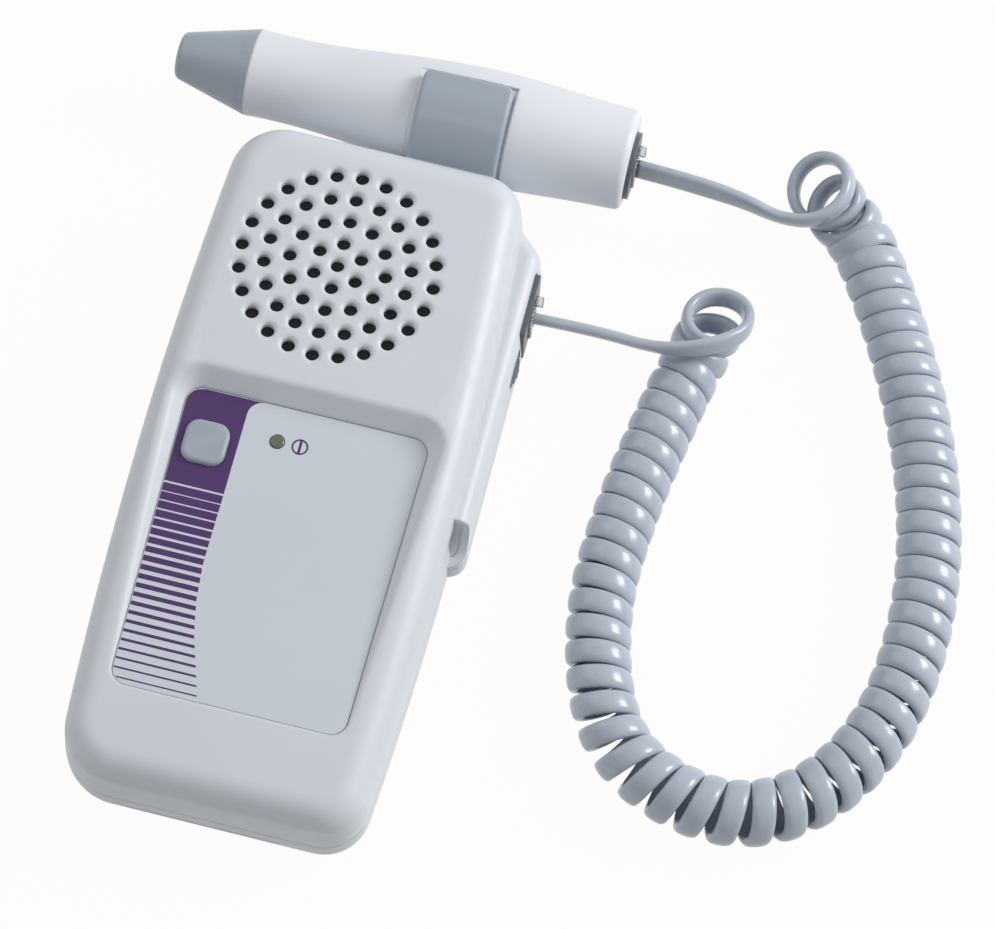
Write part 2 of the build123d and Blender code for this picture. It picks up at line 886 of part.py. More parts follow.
# Volume wheel on its potentiometer
with BuildPart() as volume_pot:
    with BuildSketch(Plane.XY.offset(board_top)):
        with Locations((wheel_x, wheel_y)):
            RectangleRounded(pot_side, pot_side, pot_corner)
    extrude(amount=pot_height)
    with BuildSketch(Plane.XY.offset(board_top + pot_height)):
        with Locations((wheel_x, wheel_y)):
            Circle(wheel_shaft)
    extrude(amount=wheel_gap + wheel_thick - shaft_sunk)
volume_pot.part.label = "volume_pot"
export_step(volume_pot.part, "parts/volume_pot.step")

with BuildPart() as volume_wheel:
    with BuildSketch(Plane.XY.offset(wheel_low)):
        with Locations((wheel_x, wheel_y)):
            Circle(wheel_radius)
            with PolarLocations(wheel_radius + knurl_rise, knurl_count):
                Circle(knurl_radius, mode=Mode.SUBTRACT)
            Circle(wheel_shaft + running_gap, mode=Mode.SUBTRACT)
    extrude(amount=wheel_thick)
volume_wheel.part.label = "volume_wheel"
export_step(volume_wheel.part, "parts/volume_wheel.step")

# ------------------------------------------------------------------ loudspeaker
flange_high = bay_ceiling - gasket_thick
flange_low = flange_high - flange_thick
basket_low = bay_ceiling - speaker_depth + magnet_thick + yoke_thick
magnet_low = basket_low - magnet_thick
gap_radius = pole_radius + coil_gap
opening_radius = surround_radius + 0.25 * flange_gap
speaker_plane = Plane.XZ.offset(-speaker_y)
speaker_axis = Axis((speaker_x, speaker_y, 0), (0, 0, 1))

with BuildPart() as speaker_frame:
    with BuildSketch(speaker_plane):
        with BuildLine():
            Polyline(
                (speaker_x + opening_radius, flange_high),
                (speaker_x + speaker_radius, flange_high),
                (speaker_x + speaker_radius, flange_low),
                (speaker_x + opening_radius + basket_wall, flange_low),
                (speaker_x + magnet_radius + 2 * basket_wall, basket_low),
                (speaker_x + gap_radius, basket_low),
                (speaker_x + gap_radius, basket_low + top_plate),
                (speaker_x + magnet_radius + basket_wall, basket_low + top_plate),
                (speaker_x + opening_radius, flange_low),
                close=True,
            )
        make_face()
    revolve(axis=speaker_axis)
    # windows in the basket
    with BuildSketch(Plane.XY.offset(basket_low + 2 * top_plate)):
        with Locations((speaker_x, speaker_y)):
            with PolarLocations(magnet_radius + window_length / 2, 4, start_angle=45):
                Rectangle(window_length, window_width)
    extrude(amount=flange_low - basket_low - 3 * top_plate, mode=Mode.SUBTRACT)
speaker_frame.part.label = "speaker_frame"
export_step(speaker_frame.part, "parts/speaker_frame.step")

with BuildPart() as speaker_magnet:
    with BuildSketch(Plane.XY.offset(magnet_low)):
        with Locations((speaker_x, speaker_y)):
            Circle(magnet_radius)
            Circle(gap_radius, mode=Mode.SUBTRACT)
    extrude(amount=magnet_thick)
    with BuildSketch(Plane.XY.offset(magnet_low - yoke_thick)):
        with Locations((speaker_x, speaker_y)):
            Circle(magnet_radius - yoke_inset)
    extrude(amount=yoke_thick)
    with BuildSketch(Plane.XY.offset(magnet_low)):
        with Locations((speaker_x, speaker_y)):
            Circle(pole_radius)
    extrude(amount=magnet_thick + top_plate)
speaker_magnet.part.label = "speaker_magnet"
export_step(speaker_magnet.part, "parts/speaker_magnet.step")

former_in = pole_radius + former_gap
former_out = gap_radius - former_gap
former_low = magnet_low + top_plate
former_top = basket_low + top_plate + surround_width
cone_top = flange_high - cone_thick
with BuildPart() as speaker_cone:
    with BuildSketch(speaker_plane):
        with BuildLine():
            Polyline(
                (speaker_x + former_in, former_low),
                (speaker_x + former_out, former_low),
                (speaker_x + former_out, former_top),
                (speaker_x + surround_radius - cone_roll, cone_top - cone_thick),
                (speaker_x + surround_radius, cone_top - cone_thick),
                (speaker_x + surround_radius, cone_top),
                (speaker_x + surround_radius - cone_roll, cone_top),
                (speaker_x + former_out, former_top + 2 * cone_thick),
                (speaker_x, former_top + cone_thick + cap_rise),
                (speaker_x, former_top + cap_rise),
                (speaker_x + former_in, former_top),
                close=True,
            )
        make_face()
    revolve(axis=speaker_axis)
speaker_cone.part.label = "speaker_cone"
export_step(speaker_cone.part, "parts/speaker_cone.step")

with BuildPart() as speaker_gasket:
    with BuildSketch(Plane.XY.offset(flange_high)):
        with Locations((speaker_x, speaker_y)):
            Circle(speaker_radius)
            Circle(speaker_radius - gasket_width, mode=Mode.SUBTRACT)
    extrude(amount=gasket_thick)
speaker_gasket.part.label = "speaker_gasket"
export_step(speaker_gasket.part, "parts/speaker_gasket.step")

with BuildPart() as grille_cloth:
    with BuildSketch(Plane.XY.offset(bay_ceiling - cloth_thick)):
        with Locations((speaker_x, speaker_y)):
            Circle(speaker_radius - gasket_width - cloth_gap)
    extrude(amount=cloth_thick)
grille_cloth.part.label = "grille_cloth"
export_step(grille_cloth.part, "parts/grille_cloth.step")

# ------------------------------------------------------------------ battery and its snap
with BuildPart() as battery_9v:
    with BuildSketch(Plane.XY.offset(battery_bottom)):
        with Locations((0, battery_middle)):
            RectangleRounded(battery_width, battery_length, battery_corner)
    extrude(amount=battery_height)
    with BuildSketch(Plane.XZ.offset(-battery_high)):
        with Locations(*terminal_places):
            Circle(terminal_radius)
    extrude(amount=-terminal_height)
battery_9v.part.label = "battery_9v"
export_step(battery_9v.part, "parts/battery_9v.step")

snap_width = battery_width - 2 * snap_side
snap_height = battery_height - 2 * snap_end
with BuildPart() as battery_snap:
    with BuildSketch(Plane.XZ.offset(-snap_front)):
        with Locations((0, terminal_z)):
            RectangleRounded(snap_width, snap_height, snap_corner)
        with Locations(*terminal_places):
            Circle(terminal_radius + snap_hole_gap, mode=Mode.SUBTRACT)
    extrude(amount=-terminal_height)
    with BuildSketch(Plane.XZ.offset(-snap_front - terminal_height)):
        with Locations((0, terminal_z)):
            RectangleRounded(snap_width, snap_height, snap_corner)
    extrude(amount=-snap_thick)
battery_snap.part.label = "battery_snap"
export_step(battery_snap.part, "parts/battery_snap.step")

# ------------------------------------------------------------------ wires inside the housing
with BuildPart() as battery_leads:
    for side in (-1, 1):
        with BuildLine() as route:
            FilletPolyline(
                (side * wire_spread / 2, snap_back, terminal_z + wire_rise),
                (side * wire_spread / 2, snap_back + wire_reach, terminal_z + wire_rise),
                (side * wire_spread / 2, snap_back + wire_reach, board_top),
                radius=wire_bend,
            )
        with BuildSketch(Plane(route.line @ 0, z_dir=route.line % 0)):
            Circle(wire_radius)
        sweep(path=route.line)
battery_leads.part.label = "battery_leads"
export_step(battery_leads.part, "parts/battery_leads.step")

speaker_wire_y = speaker_y - magnet_radius - speaker_wire_reach
speaker_wire_z = basket_low - speaker_wire_drop
with BuildPart() as speaker_leads:
    for side in (-1, 1):
        with BuildLine() as route:
            FilletPolyline(
                (speaker_x + side * speaker_wire_spread / 2, speaker_wire_y, board_top),
                (speaker_x + side * speaker_wire_spread / 2, speaker_wire_y, speaker_wire_z),
                (
                    speaker_x + side * speaker_wire_spread / 2,
                    speaker_wire_y + speaker_wire_reach,
                    speaker_wire_z,
                ),
                radius=speaker_wire_bend,
            )
        with BuildSketch(Plane(route.line @ 0, z_dir=route.line % 0)):
            Circle(speaker_wire_radius)
        sweep(path=route.line)
speaker_leads.part.label = "speaker_leads"
export_step(speaker_leads.part, "parts/speaker_leads.step")

# ------------------------------------------------------------------ jacks and plugs
unit_port = Plane(origin=(boss_x, jack_y, jack_z), x_dir=(0, 1, 0), z_dir=(1, 0, 0))
probe_port = Plane(
    origin=(probe_right, probe_y - probe_socket_shift, probe_z), x_dir=(0, 1, 0), z_dir=(1, 0, 0)
)


def jack_shape(port, plate, proud, body_half):
    """Socket block behind a face plate, hollow where the plug and its latch go in."""
    with BuildPart() as jack:
        with BuildSketch(port.offset(-plate_seat)):
            add(plate)
        extrude(amount=plate_seat + proud)
        with BuildSketch(port.offset(-jack_length)):
            with Locations(((jack_body_low + jack_body_high) / 2, 0)):
                Rectangle(jack_body_high - jack_body_low, 2 * body_half)
        extrude(amount=jack_length)
        with BuildSketch(port.offset(-plug_length - jack_gap)):
            with Locations(((plug_low + plug_high) / 2, 0)):
                Rectangle(plug_depth + 2 * jack_gap, plug_width + 2 * jack_gap)
            with Locations(((plug_high + latch_top) / 2, 0)):
                Rectangle(latch_rise + 2 * jack_gap, latch_width + 2 * jack_gap)
        extrude(amount=plug_length + proud + 2 * jack_gap, mode=Mode.SUBTRACT)
    return jack.part


def plug_shape(port, proud):
    """Clear plug: a block with a sprung latch, and a slot at its tail for the cable."""
    tail = plug_tail + proud
    with BuildPart() as plug:
        with BuildSketch(port.offset(-plug_length)):
            with Locations(((plug_low + plug_high) / 2, 0)):
                Rectangle(plug_depth, plug_width)
        extrude(amount=plug_length + tail)
        fillet(plug.faces().sort_by(Axis.X)[-1].edges(), plug_edge)
        with BuildSketch(port.offset(-plug_length + nose)):
            with Locations((plug_high + latch_rise / 2, 0)):
                Rectangle(latch_rise, latch_width)
        extrude(amount=plug_length - nose + tail + latch_tail)
        with BuildSketch(port.offset(-plug_length + latch_root)):
            with Locations((plug_high + latch_slit / 2, 0)):
                Rectangle(latch_slit, latch_width + cut_over)
        extrude(amount=plug_length + tail, mode=Mode.SUBTRACT)
        fillet(plug.faces().sort_by(Axis.X)[-1].edges(), latch_edge)
        with BuildSketch(port.offset(tail - cable_slot_depth)):
            with Locations((cord_offset, 0)):
                SlotOverall(
                    cord_width + 2 * cable_slot_gap, cord_thick + 2 * cable_slot_gap, rotation=90
                )
        extrude(amount=cable_slot_depth + cut_over, mode=Mode.SUBTRACT)
        with BuildSketch(port.offset(-plug_length + contact_nose - contact_gap)):
            with Locations((plug_low, 0)):
                with GridLocations(0, contact_pitch, 1, 4):
                    Rectangle(2 * contact_height, contact_thick + contact_gap)
        extrude(amount=contact_length + 2 * contact_gap, mode=Mode.SUBTRACT)
    return plug.part


def contact_blades(port):
    """Four blades in the nose of a plug."""
    with BuildPart() as blades:
        with BuildSketch(port.offset(-plug_length + contact_nose)):
            with Locations((plug_low + contact_height / 2, 0)):
                with GridLocations(0, contact_pitch, 1, 4):
                    Rectangle(contact_height, contact_thick)
        extrude(amount=contact_length)
    return blades.part


def contact_springs(port):
    """Four springs on the floor of a jack, under the blades of its plug."""
    spring_thick = jack_gap - running_gap
    with BuildPart() as springs:
        with BuildSketch(port.offset(-plug_length)):
            with Locations((plug_low - jack_gap + spring_thick / 2, 0)):
                with GridLocations(0, contact_pitch, 1, 4):
                    Rectangle(spring_thick, contact_thick)
        extrude(amount=spring_length)
    return springs.part


with BuildSketch() as unit_plate:
    RectangleRounded(unit_plate_length, unit_plate_width, unit_plate_corner)
with BuildSketch() as probe_plate:
    Circle(probe_plate_radius)

with BuildPart() as unit_jack:
    add(jack_shape(unit_port, unit_plate.sketch, unit_plate_proud, jack_z - board_top))
unit_jack.part.label = "unit_jack"
export_step(unit_jack.part, "parts/unit_jack.step")

with BuildPart() as unit_jack_contacts:
    add(contact_springs(unit_port))
unit_jack_contacts.part.label = "unit_jack_contacts"
export_step(unit_jack_contacts.part, "parts/unit_jack_contacts.step")

with BuildPart() as unit_plug:
    add(plug_shape(unit_port, unit_plate_proud))
unit_plug.part.label = "unit_plug"
export_step(unit_plug.part, "parts/unit_plug.step")

with BuildPart() as unit_plug_contacts:
    add(contact_blades(unit_port))
unit_plug_contacts.part.label = "unit_plug_contacts"
export_step(unit_plug_contacts.part, "parts/unit_plug_contacts.step")

with BuildPart() as probe_jack:
    add(jack_shape(probe_port, probe_plate.sketch, probe_plate_proud, jack_body_half))
probe_jack.part.label = "probe_jack"
export_step(probe_jack.part, "parts/probe_jack.step")

with BuildPart() as probe_jack_contacts:
    add(contact_springs(probe_port))
probe_jack_contacts.part.label = "probe_jack_contacts"
export_step(probe_jack_contacts.part, "parts/probe_jack_contacts.step")

with BuildPart() as probe_plug:
    add(plug_shape(probe_port, probe_plate_proud))
probe_plug.part.label = "probe_plug"
export_step(probe_plug.part, "parts/probe_plug.step")

with BuildPart() as probe_plug_contacts:
    add(contact_blades(probe_port))
probe_plug_contacts.part.label = "probe_plug_contacts"
export_step(probe_plug_contacts.part, "parts/probe_plug_contacts.step")

# ------------------------------------------------------------------ probe
probe_axis = Axis((0, probe_y, probe_z), (1, 0, 0))
probe_plane = Plane(origin=(0, probe_y, probe_z), x_dir=(1, 0, 0), z_dir=(0, -1, 0))
sleeve_length = probe_right - probe_joint

# Barrel profile: share of the sleeve's length, share of the belly's radius
sleeve_shape = [
    (0.081, 0.750),
    (0.204, 0.783),
    (0.351, 0.883),
    (0.498, 0.972),
    (0.658, 1.000),
    (0.817, 0.942),
    (1.000, 0.883),
]
sleeve_points = [(probe_joint + t * sleeve_length, r * belly_radius) for t, r in sleeve_shape]
sleeve_end = sleeve_points[-1]
with BuildPart() as probe_sleeve:
    with BuildSketch(probe_plane):
        with BuildLine():
            Line((probe_joint, 0), (probe_joint, joint_radius))
            Spline((probe_joint, joint_radius), *sleeve_points)
            Line(sleeve_end, (probe_right, 0))
            Line((probe_right, 0), (probe_joint, 0))
        make_face()
    revolve(axis=probe_axis)
    fillet(probe_sleeve.faces().sort_by(Axis.X)[-1].edges(), probe_end_edge)
    # groove that the clip sits in
    with BuildSketch(Plane.YZ.offset(groove_left)):
        with Locations((probe_y, probe_z)):
            Circle(2 * belly_radius)
            Circle(groove_radius, mode=Mode.SUBTRACT)
        with Locations((probe_y + groove_reach + 2 * belly_radius, probe_z)):
            Rectangle(4 * belly_radius, 4 * belly_radius, mode=Mode.SUBTRACT)
    extrude(amount=groove_right - groove_left, mode=Mode.SUBTRACT)
    # bore, and the seat of the socket's plate
    with BuildSketch(Plane.YZ.offset(probe_joint)):
        with Locations((probe_y, probe_z)):
            Circle(bore_radius)
    extrude(amount=sleeve_length - probe_end_wall, mode=Mode.SUBTRACT)
    with BuildSketch(Plane.YZ.offset(probe_right - probe_end_wall - root)):
        with Locations((probe_y - probe_socket_shift, probe_z)):
            Circle(probe_plate_radius + plate_gap)
    extrude(amount=probe_end_wall + root + cut_over, mode=Mode.SUBTRACT)
probe_sleeve.part.label = "probe_sleeve"
export_step(probe_sleeve.part, "parts/probe_sleeve.step")

tip_bore = tip_end_radius - tip_wall
spigot_radius = bore_radius - spigot_gap
with BuildPart() as probe_tip:
    with BuildSketch(probe_plane):
        with BuildLine():
            Polyline(
                (probe_left, 0),
                (probe_left, tip_end_radius),
                (probe_joint, joint_radius),
                (probe_joint, spigot_radius),
                (probe_joint + spigot_length, spigot_radius),
                (probe_joint + spigot_length, 0),
                close=True,
            )
        make_face()
    revolve(axis=probe_axis)
    fillet(probe_tip.faces().sort_by(Axis.X)[0].edges(), tip_edge)
    with BuildSketch(Plane.YZ.offset(probe_left - cut_over)):
        with Locations((probe_y, probe_z)):
            Circle(tip_bore)
    extrude(amount=probe_joint + spigot_length - probe_left + 2 * cut_over, mode=Mode.SUBTRACT)
    with BuildSketch(Plane.YZ.offset(probe_joint - tip_step)):
        with Locations((probe_y, probe_z)):
            Circle(spigot_radius - spigot_wall)
    extrude(amount=spigot_length + 2 * tip_step, mode=Mode.SUBTRACT)
probe_tip.part.label = "probe_tip"
export_step(probe_tip.part, "parts/probe_tip.step")

with BuildPart() as probe_lens:
    with BuildSketch(Plane.YZ.offset(probe_left)):
        with Locations((probe_y, probe_z)):
            Circle(tip_bore - lens_gap)
    extrude(amount=lens_thick)
probe_lens.part.label = "probe_lens"
export_step(probe_lens.part, "parts/probe_lens.step")

with BuildPart() as transducer_crystals:
    with BuildSketch(Plane.YZ.offset(probe_left + lens_thick)):
        with Locations((probe_y, probe_z)):
            Circle(tip_bore - crystal_gap)
            Rectangle(crystal_split, 3 * tip_bore, mode=Mode.SUBTRACT)
    extrude(amount=crystal_thick)
transducer_crystals.part.label = "transducer_crystals"
export_step(transducer_crystals.part, "parts/transducer_crystals.step")

with BuildPart() as crystal_backing:
    with BuildSketch(Plane.YZ.offset(probe_left + lens_thick + crystal_thick)):
        with Locations((probe_y, probe_z)):
            Circle(tip_bore - crystal_gap)
    extrude(amount=backing_length)
crystal_backing.part.label = "crystal_backing"
export_step(crystal_backing.part, "parts/crystal_backing.step")

probe_board_left = probe_joint + spigot_length + probe_board_gap
probe_board_right = probe_right - jack_length - probe_board_gap
probe_board_half = bore_radius - probe_board_side
probe_board_length = probe_board_right - probe_board_left
with BuildPart() as probe_board:
    with BuildSketch(Plane.XY.offset(probe_z - probe_board_thick / 2)):
        with Locations((probe_board_left + probe_board_length / 2, probe_y)):
            Rectangle(probe_board_length, 2 * probe_board_half)
    extrude(amount=probe_board_thick)
probe_board.part.label = "probe_board"
export_step(probe_board.part, "parts/probe_board.step")

# Chips on the probe's board: share of its length, then length as a share of their depth
with BuildPart() as probe_chips:
    for along, stretch in ((0.16, 1.2), (0.36, 1.6), (0.60, 1.0), (0.80, 1.2)):
        with BuildSketch(Plane.XY.offset(probe_z + probe_board_thick / 2)):
            with Locations((probe_board_left + along * probe_board_length, probe_y)):
                Rectangle(stretch * probe_chip_depth, probe_chip_depth)
        extrude(amount=probe_chip_height)
probe_chips.part.label = "probe_chips"
export_step(probe_chips.part, "parts/probe_chips.step")

wire_start = probe_left + lens_thick + crystal_thick + backing_length
with BuildPart() as crystal_wires:
    with BuildSketch(Plane.YZ.offset(wire_start)):
        with Locations((probe_y, probe_z)):
            with GridLocations(crystal_wire_spread, 0, 2, 1):
                Circle(crystal_wire_radius)
    extrude(amount=probe_board_left - wire_start)
crystal_wires.part.label = "crystal_wires"
export_step(crystal_wires.part, "parts/crystal_wires.step")

with BuildPart() as jack_wires:
    with BuildSketch(Plane.YZ.offset(probe_board_right)):
        with Locations((probe_y, probe_z)):
            with GridLocations(jack_wire_pitch, 0, 4, 1):
                Circle(jack_wire_radius)
    extrude(amount=probe_board_gap)
jack_wires.part.label = "jack_wires"
export_step(jack_wires.part, "parts/jack_wires.step")

# ------------------------------------------------------------------ clip
arm_middle = clip_inner + clip_thick / 2
with BuildPart() as probe_clip:
    with BuildSketch(Plane.YZ.offset(clip_left)):
        with Locations((probe_y, probe_z)):
            Circle(clip_outer)
        with Locations((probe_y + clip_outer, probe_z)):
            Rectangle(2 * clip_outer, 3 * clip_outer, mode=Mode.SUBTRACT)
        with Locations((probe_y + clip_reach / 2, probe_z + arm_middle)):
            Rectangle(clip_reach, clip_thick)
        with Locations((probe_y + clip_lower_reach / 2, probe_z - arm_middle)):
            Rectangle(clip_lower_reach, clip_thick)
        with Locations((end_y + clip_web_length / 2, probe_z + clip_web_rise)):
            Rectangle(clip_web_length, clip_web_height)
        with Locations((probe_y, probe_z)):
            Circle(clip_inner, mode=Mode.SUBTRACT)
    extrude(amount=clip_right - clip_left)
    with BuildSketch(Plane.XZ.offset(-end_y)):
        with Locations(*clip_screw_points):
            Circle(screw_radius + running_gap)
    extrude(amount=-clip_screw_bite - clip_screw_room, mode=Mode.SUBTRACT)
    corners = probe_clip.edges().filter_by(Axis.Z).filter_by(
        lambda e: e.center().Y > probe_y + clip_thick / 2
    )
    fillet(corners, clip_corner)
    sides = probe_clip.edges().filter_by(
        lambda e: min(abs(e.center().X - clip_left), abs(e.center().X - clip_right)) < 0.01
    )
    outer = sides.filter_by(lambda e: e.center().Z > probe_z + clip_inner + clip_thick / 2)
    fillet(outer, clip_edge)
probe_clip.part.label = "probe_clip"
export_step(probe_clip.part, "parts/probe_clip.step")

clip_seat_y = end_y - wall - (clip_screw_z + clip_screw_head - seam) * tan(radians(draft))
with BuildPart() as clip_screws:
    with BuildSketch(Plane.XZ.offset(-clip_seat_y)):
        with Locations(*clip_screw_points):
            Circle(clip_screw_head)
    extrude(amount=clip_screw_head_thick)
    with BuildSketch(Plane.XZ.offset(-clip_seat_y)):
        with Locations(*clip_screw_points):
            Circle(screw_radius)
    extrude(amount=clip_seat_y - end_y - clip_screw_bite)
clip_screws.part.label = "clip_screws"
export_step(clip_screws.part, "parts/clip_screws.step")

# ------------------------------------------------------------------ curly cord
# The coil lies on the floor. Its points are measured from the centre of the unit's
# socket, on the face of the side boss; the third number is the height above the floor.
coil_z = coil_diameter / 2 + floor_gap
unit_exit = (boss_x + unit_plate_proud + plug_tail - cord_seat, jack_y + cord_offset, jack_z)
probe_exit = (
    probe_right + probe_plate_proud + plug_tail + running_gap,
    probe_y - probe_socket_shift + cord_offset,
    probe_z,
)
coil_places = [
    (36.4, 7.55, 15.0),
    (36.4, 3.05, 9.0),
    (31.6, -8.45, coil_z),
    (27.8, -31.15, coil_z),
    (27.5, -53.55, coil_z),
    (32.4, -73.65, coil_z),
    (40.2, -84.85, coil_z),
    (53.0, -90.65, coil_z),
    (65.8, -91.05, coil_z),
    (77.0, -85.25, coil_z),
    (86.0, -73.85, coil_z),
    (91.4, -58.45, coil_z),
    (92.2, -36.95, coil_z),
    (88.3, -15.55, coil_z),
    (80.7, 5.25, coil_z),
    (71.4, 23.15, coil_z),
    (64.0, 33.15, coil_z),
    (56.9, 40.35, 8.4),
    (51.8, 42.05, 14.8),
]
unit_lead_places = [(12.0, -0.65, 15.0), (24.0, 0.15, 14.7), (34.2, 2.85, 13.6)]
probe_lead_places = [(26.0, 38.45, 15.0), (38.4, 36.65, 14.2), (50.0, 37.05, 12.8)]


def from_socket(places):
    """Route points from places measured from the unit's socket."""
    return [(boss_x + x, jack_y + y, z) for x, y, z in places]


def bend_radii(route):
    """Radius of the arc at each inner point: as large as its two runs allow."""
    radii = []
    for before, here, after in zip(route, route[1:], route[2:]):
        run_in = Vector(*here) - Vector(*before)
        run_out = Vector(*after) - Vector(*here)
        half_turn = radians(run_in.get_angle(run_out)) / 2
        radii.append(0.45 * min(run_in.length, run_out.length) / tan(half_turn))
    return radii


def swept(route, flat):
    """Solid along a route, round as the coil or flat as the cable."""
    radii = bend_radii(route)
    print("bend radii", [round(r, 1) for r in radii])
    with BuildPart() as solid:
        with BuildLine() as path:
            FilletPolyline(*route, radius=radii)
        start = Plane(path.line @ 0, z_dir=path.line % 0)
        if flat:
            start = Plane(path.line @ 0, x_dir=(0, 0, 1), z_dir=path.line % 0)
        with BuildSketch(start):
            if flat:
                SlotOverall(cord_width, cord_thick)
            else:
                Circle(coil_diameter / 2)
        sweep(path=path.line)
    run = sum(e.length for e in path.edges())
    print("length", round(run, 1), "volume", round(solid.part.volume, 1))
    return solid.part


with BuildPart() as cord_coil:
    add(swept(from_socket(coil_places), False))
cord_coil.part.label = "cord_coil"
export_step(cord_coil.part, "parts/cord_coil.step")

with BuildPart() as cord_lead_unit:
    add(swept([unit_exit] + from_socket(unit_lead_places), True))
cord_lead_unit.part.label = "cord_lead_unit"
export_step(cord_lead_unit.part, "parts/cord_lead_unit.step")

with BuildPart() as cord_lead_probe:
    add(swept([probe_exit] + from_socket(probe_lead_places), True))
cord_lead_probe.part.label = "cord_lead_probe"
export_step(cord_lead_probe.part, "parts/cord_lead_probe.step")
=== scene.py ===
import math

import bmesh
import bpy
import numpy as np
from mathutils import Matrix, Vector


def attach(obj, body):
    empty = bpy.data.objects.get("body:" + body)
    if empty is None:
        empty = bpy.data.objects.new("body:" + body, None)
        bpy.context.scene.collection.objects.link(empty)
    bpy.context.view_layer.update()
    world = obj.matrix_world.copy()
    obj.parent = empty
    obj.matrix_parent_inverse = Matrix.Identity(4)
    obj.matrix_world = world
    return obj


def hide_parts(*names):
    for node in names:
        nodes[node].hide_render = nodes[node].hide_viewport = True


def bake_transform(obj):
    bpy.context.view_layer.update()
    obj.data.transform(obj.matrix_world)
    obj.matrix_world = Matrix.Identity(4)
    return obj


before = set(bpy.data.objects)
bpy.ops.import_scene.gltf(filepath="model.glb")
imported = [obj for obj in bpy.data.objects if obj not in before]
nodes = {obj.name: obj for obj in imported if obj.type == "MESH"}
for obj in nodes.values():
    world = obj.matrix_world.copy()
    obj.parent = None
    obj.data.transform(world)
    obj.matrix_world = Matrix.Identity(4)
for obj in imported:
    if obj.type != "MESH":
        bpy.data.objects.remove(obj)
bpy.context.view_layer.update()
scene = bpy.context.scene


# ---------------------------------------------------------------- camera

camera_data = bpy.data.cameras.new("camera")
camera_data.sensor_width = 36.0
camera_data.lens = 159.2
camera_data.clip_start = 0.01
camera = bpy.data.objects.new("camera", camera_data)
scene.collection.objects.link(camera)
camera.matrix_world = Matrix((
    (0.97008, -0.23337, 0.06700, 0.09806),
    (0.24180, 0.90354, -0.35378, -0.30138),
    (0.02202, 0.35939, 0.93293, 0.84708),
    (0.0, 0.0, 0.0, 1.0),
))
scene.camera = camera


# ---------------------------------------------------------------- small helpers

MM = 0.001


def mm(*values):
    """A point given in millimetres, in metres."""
    return tuple(v * MM for v in values)


def srgb(red, green, blue):
    """A colour as 0 to 255 display values, in linear light."""
    out = []
    for value in (red, green, blue):
        c = value / 255.0
        out.append(c / 12.92 if c <= 0.04045 else ((c + 0.055) / 1.055) ** 2.4)
    return (*out, 1.0)


def new_object(name, data, material):
    obj = bpy.data.objects.new(name, data)
    scene.collection.objects.link(obj)
    data.materials.append(material)
    return obj


def mesh_object(name, vertices, faces, material, smooth=True):
    mesh = bpy.data.meshes.new(name)
    mesh.from_pydata([tuple(v) for v in vertices], [], faces)
    mesh.polygons.foreach_set("use_smooth", [smooth] * len(mesh.polygons))
    mesh.update()
    return new_object(name, mesh, material)


# ---------------------------------------------------------------- materials


BEVEL_SAMPLES = 6


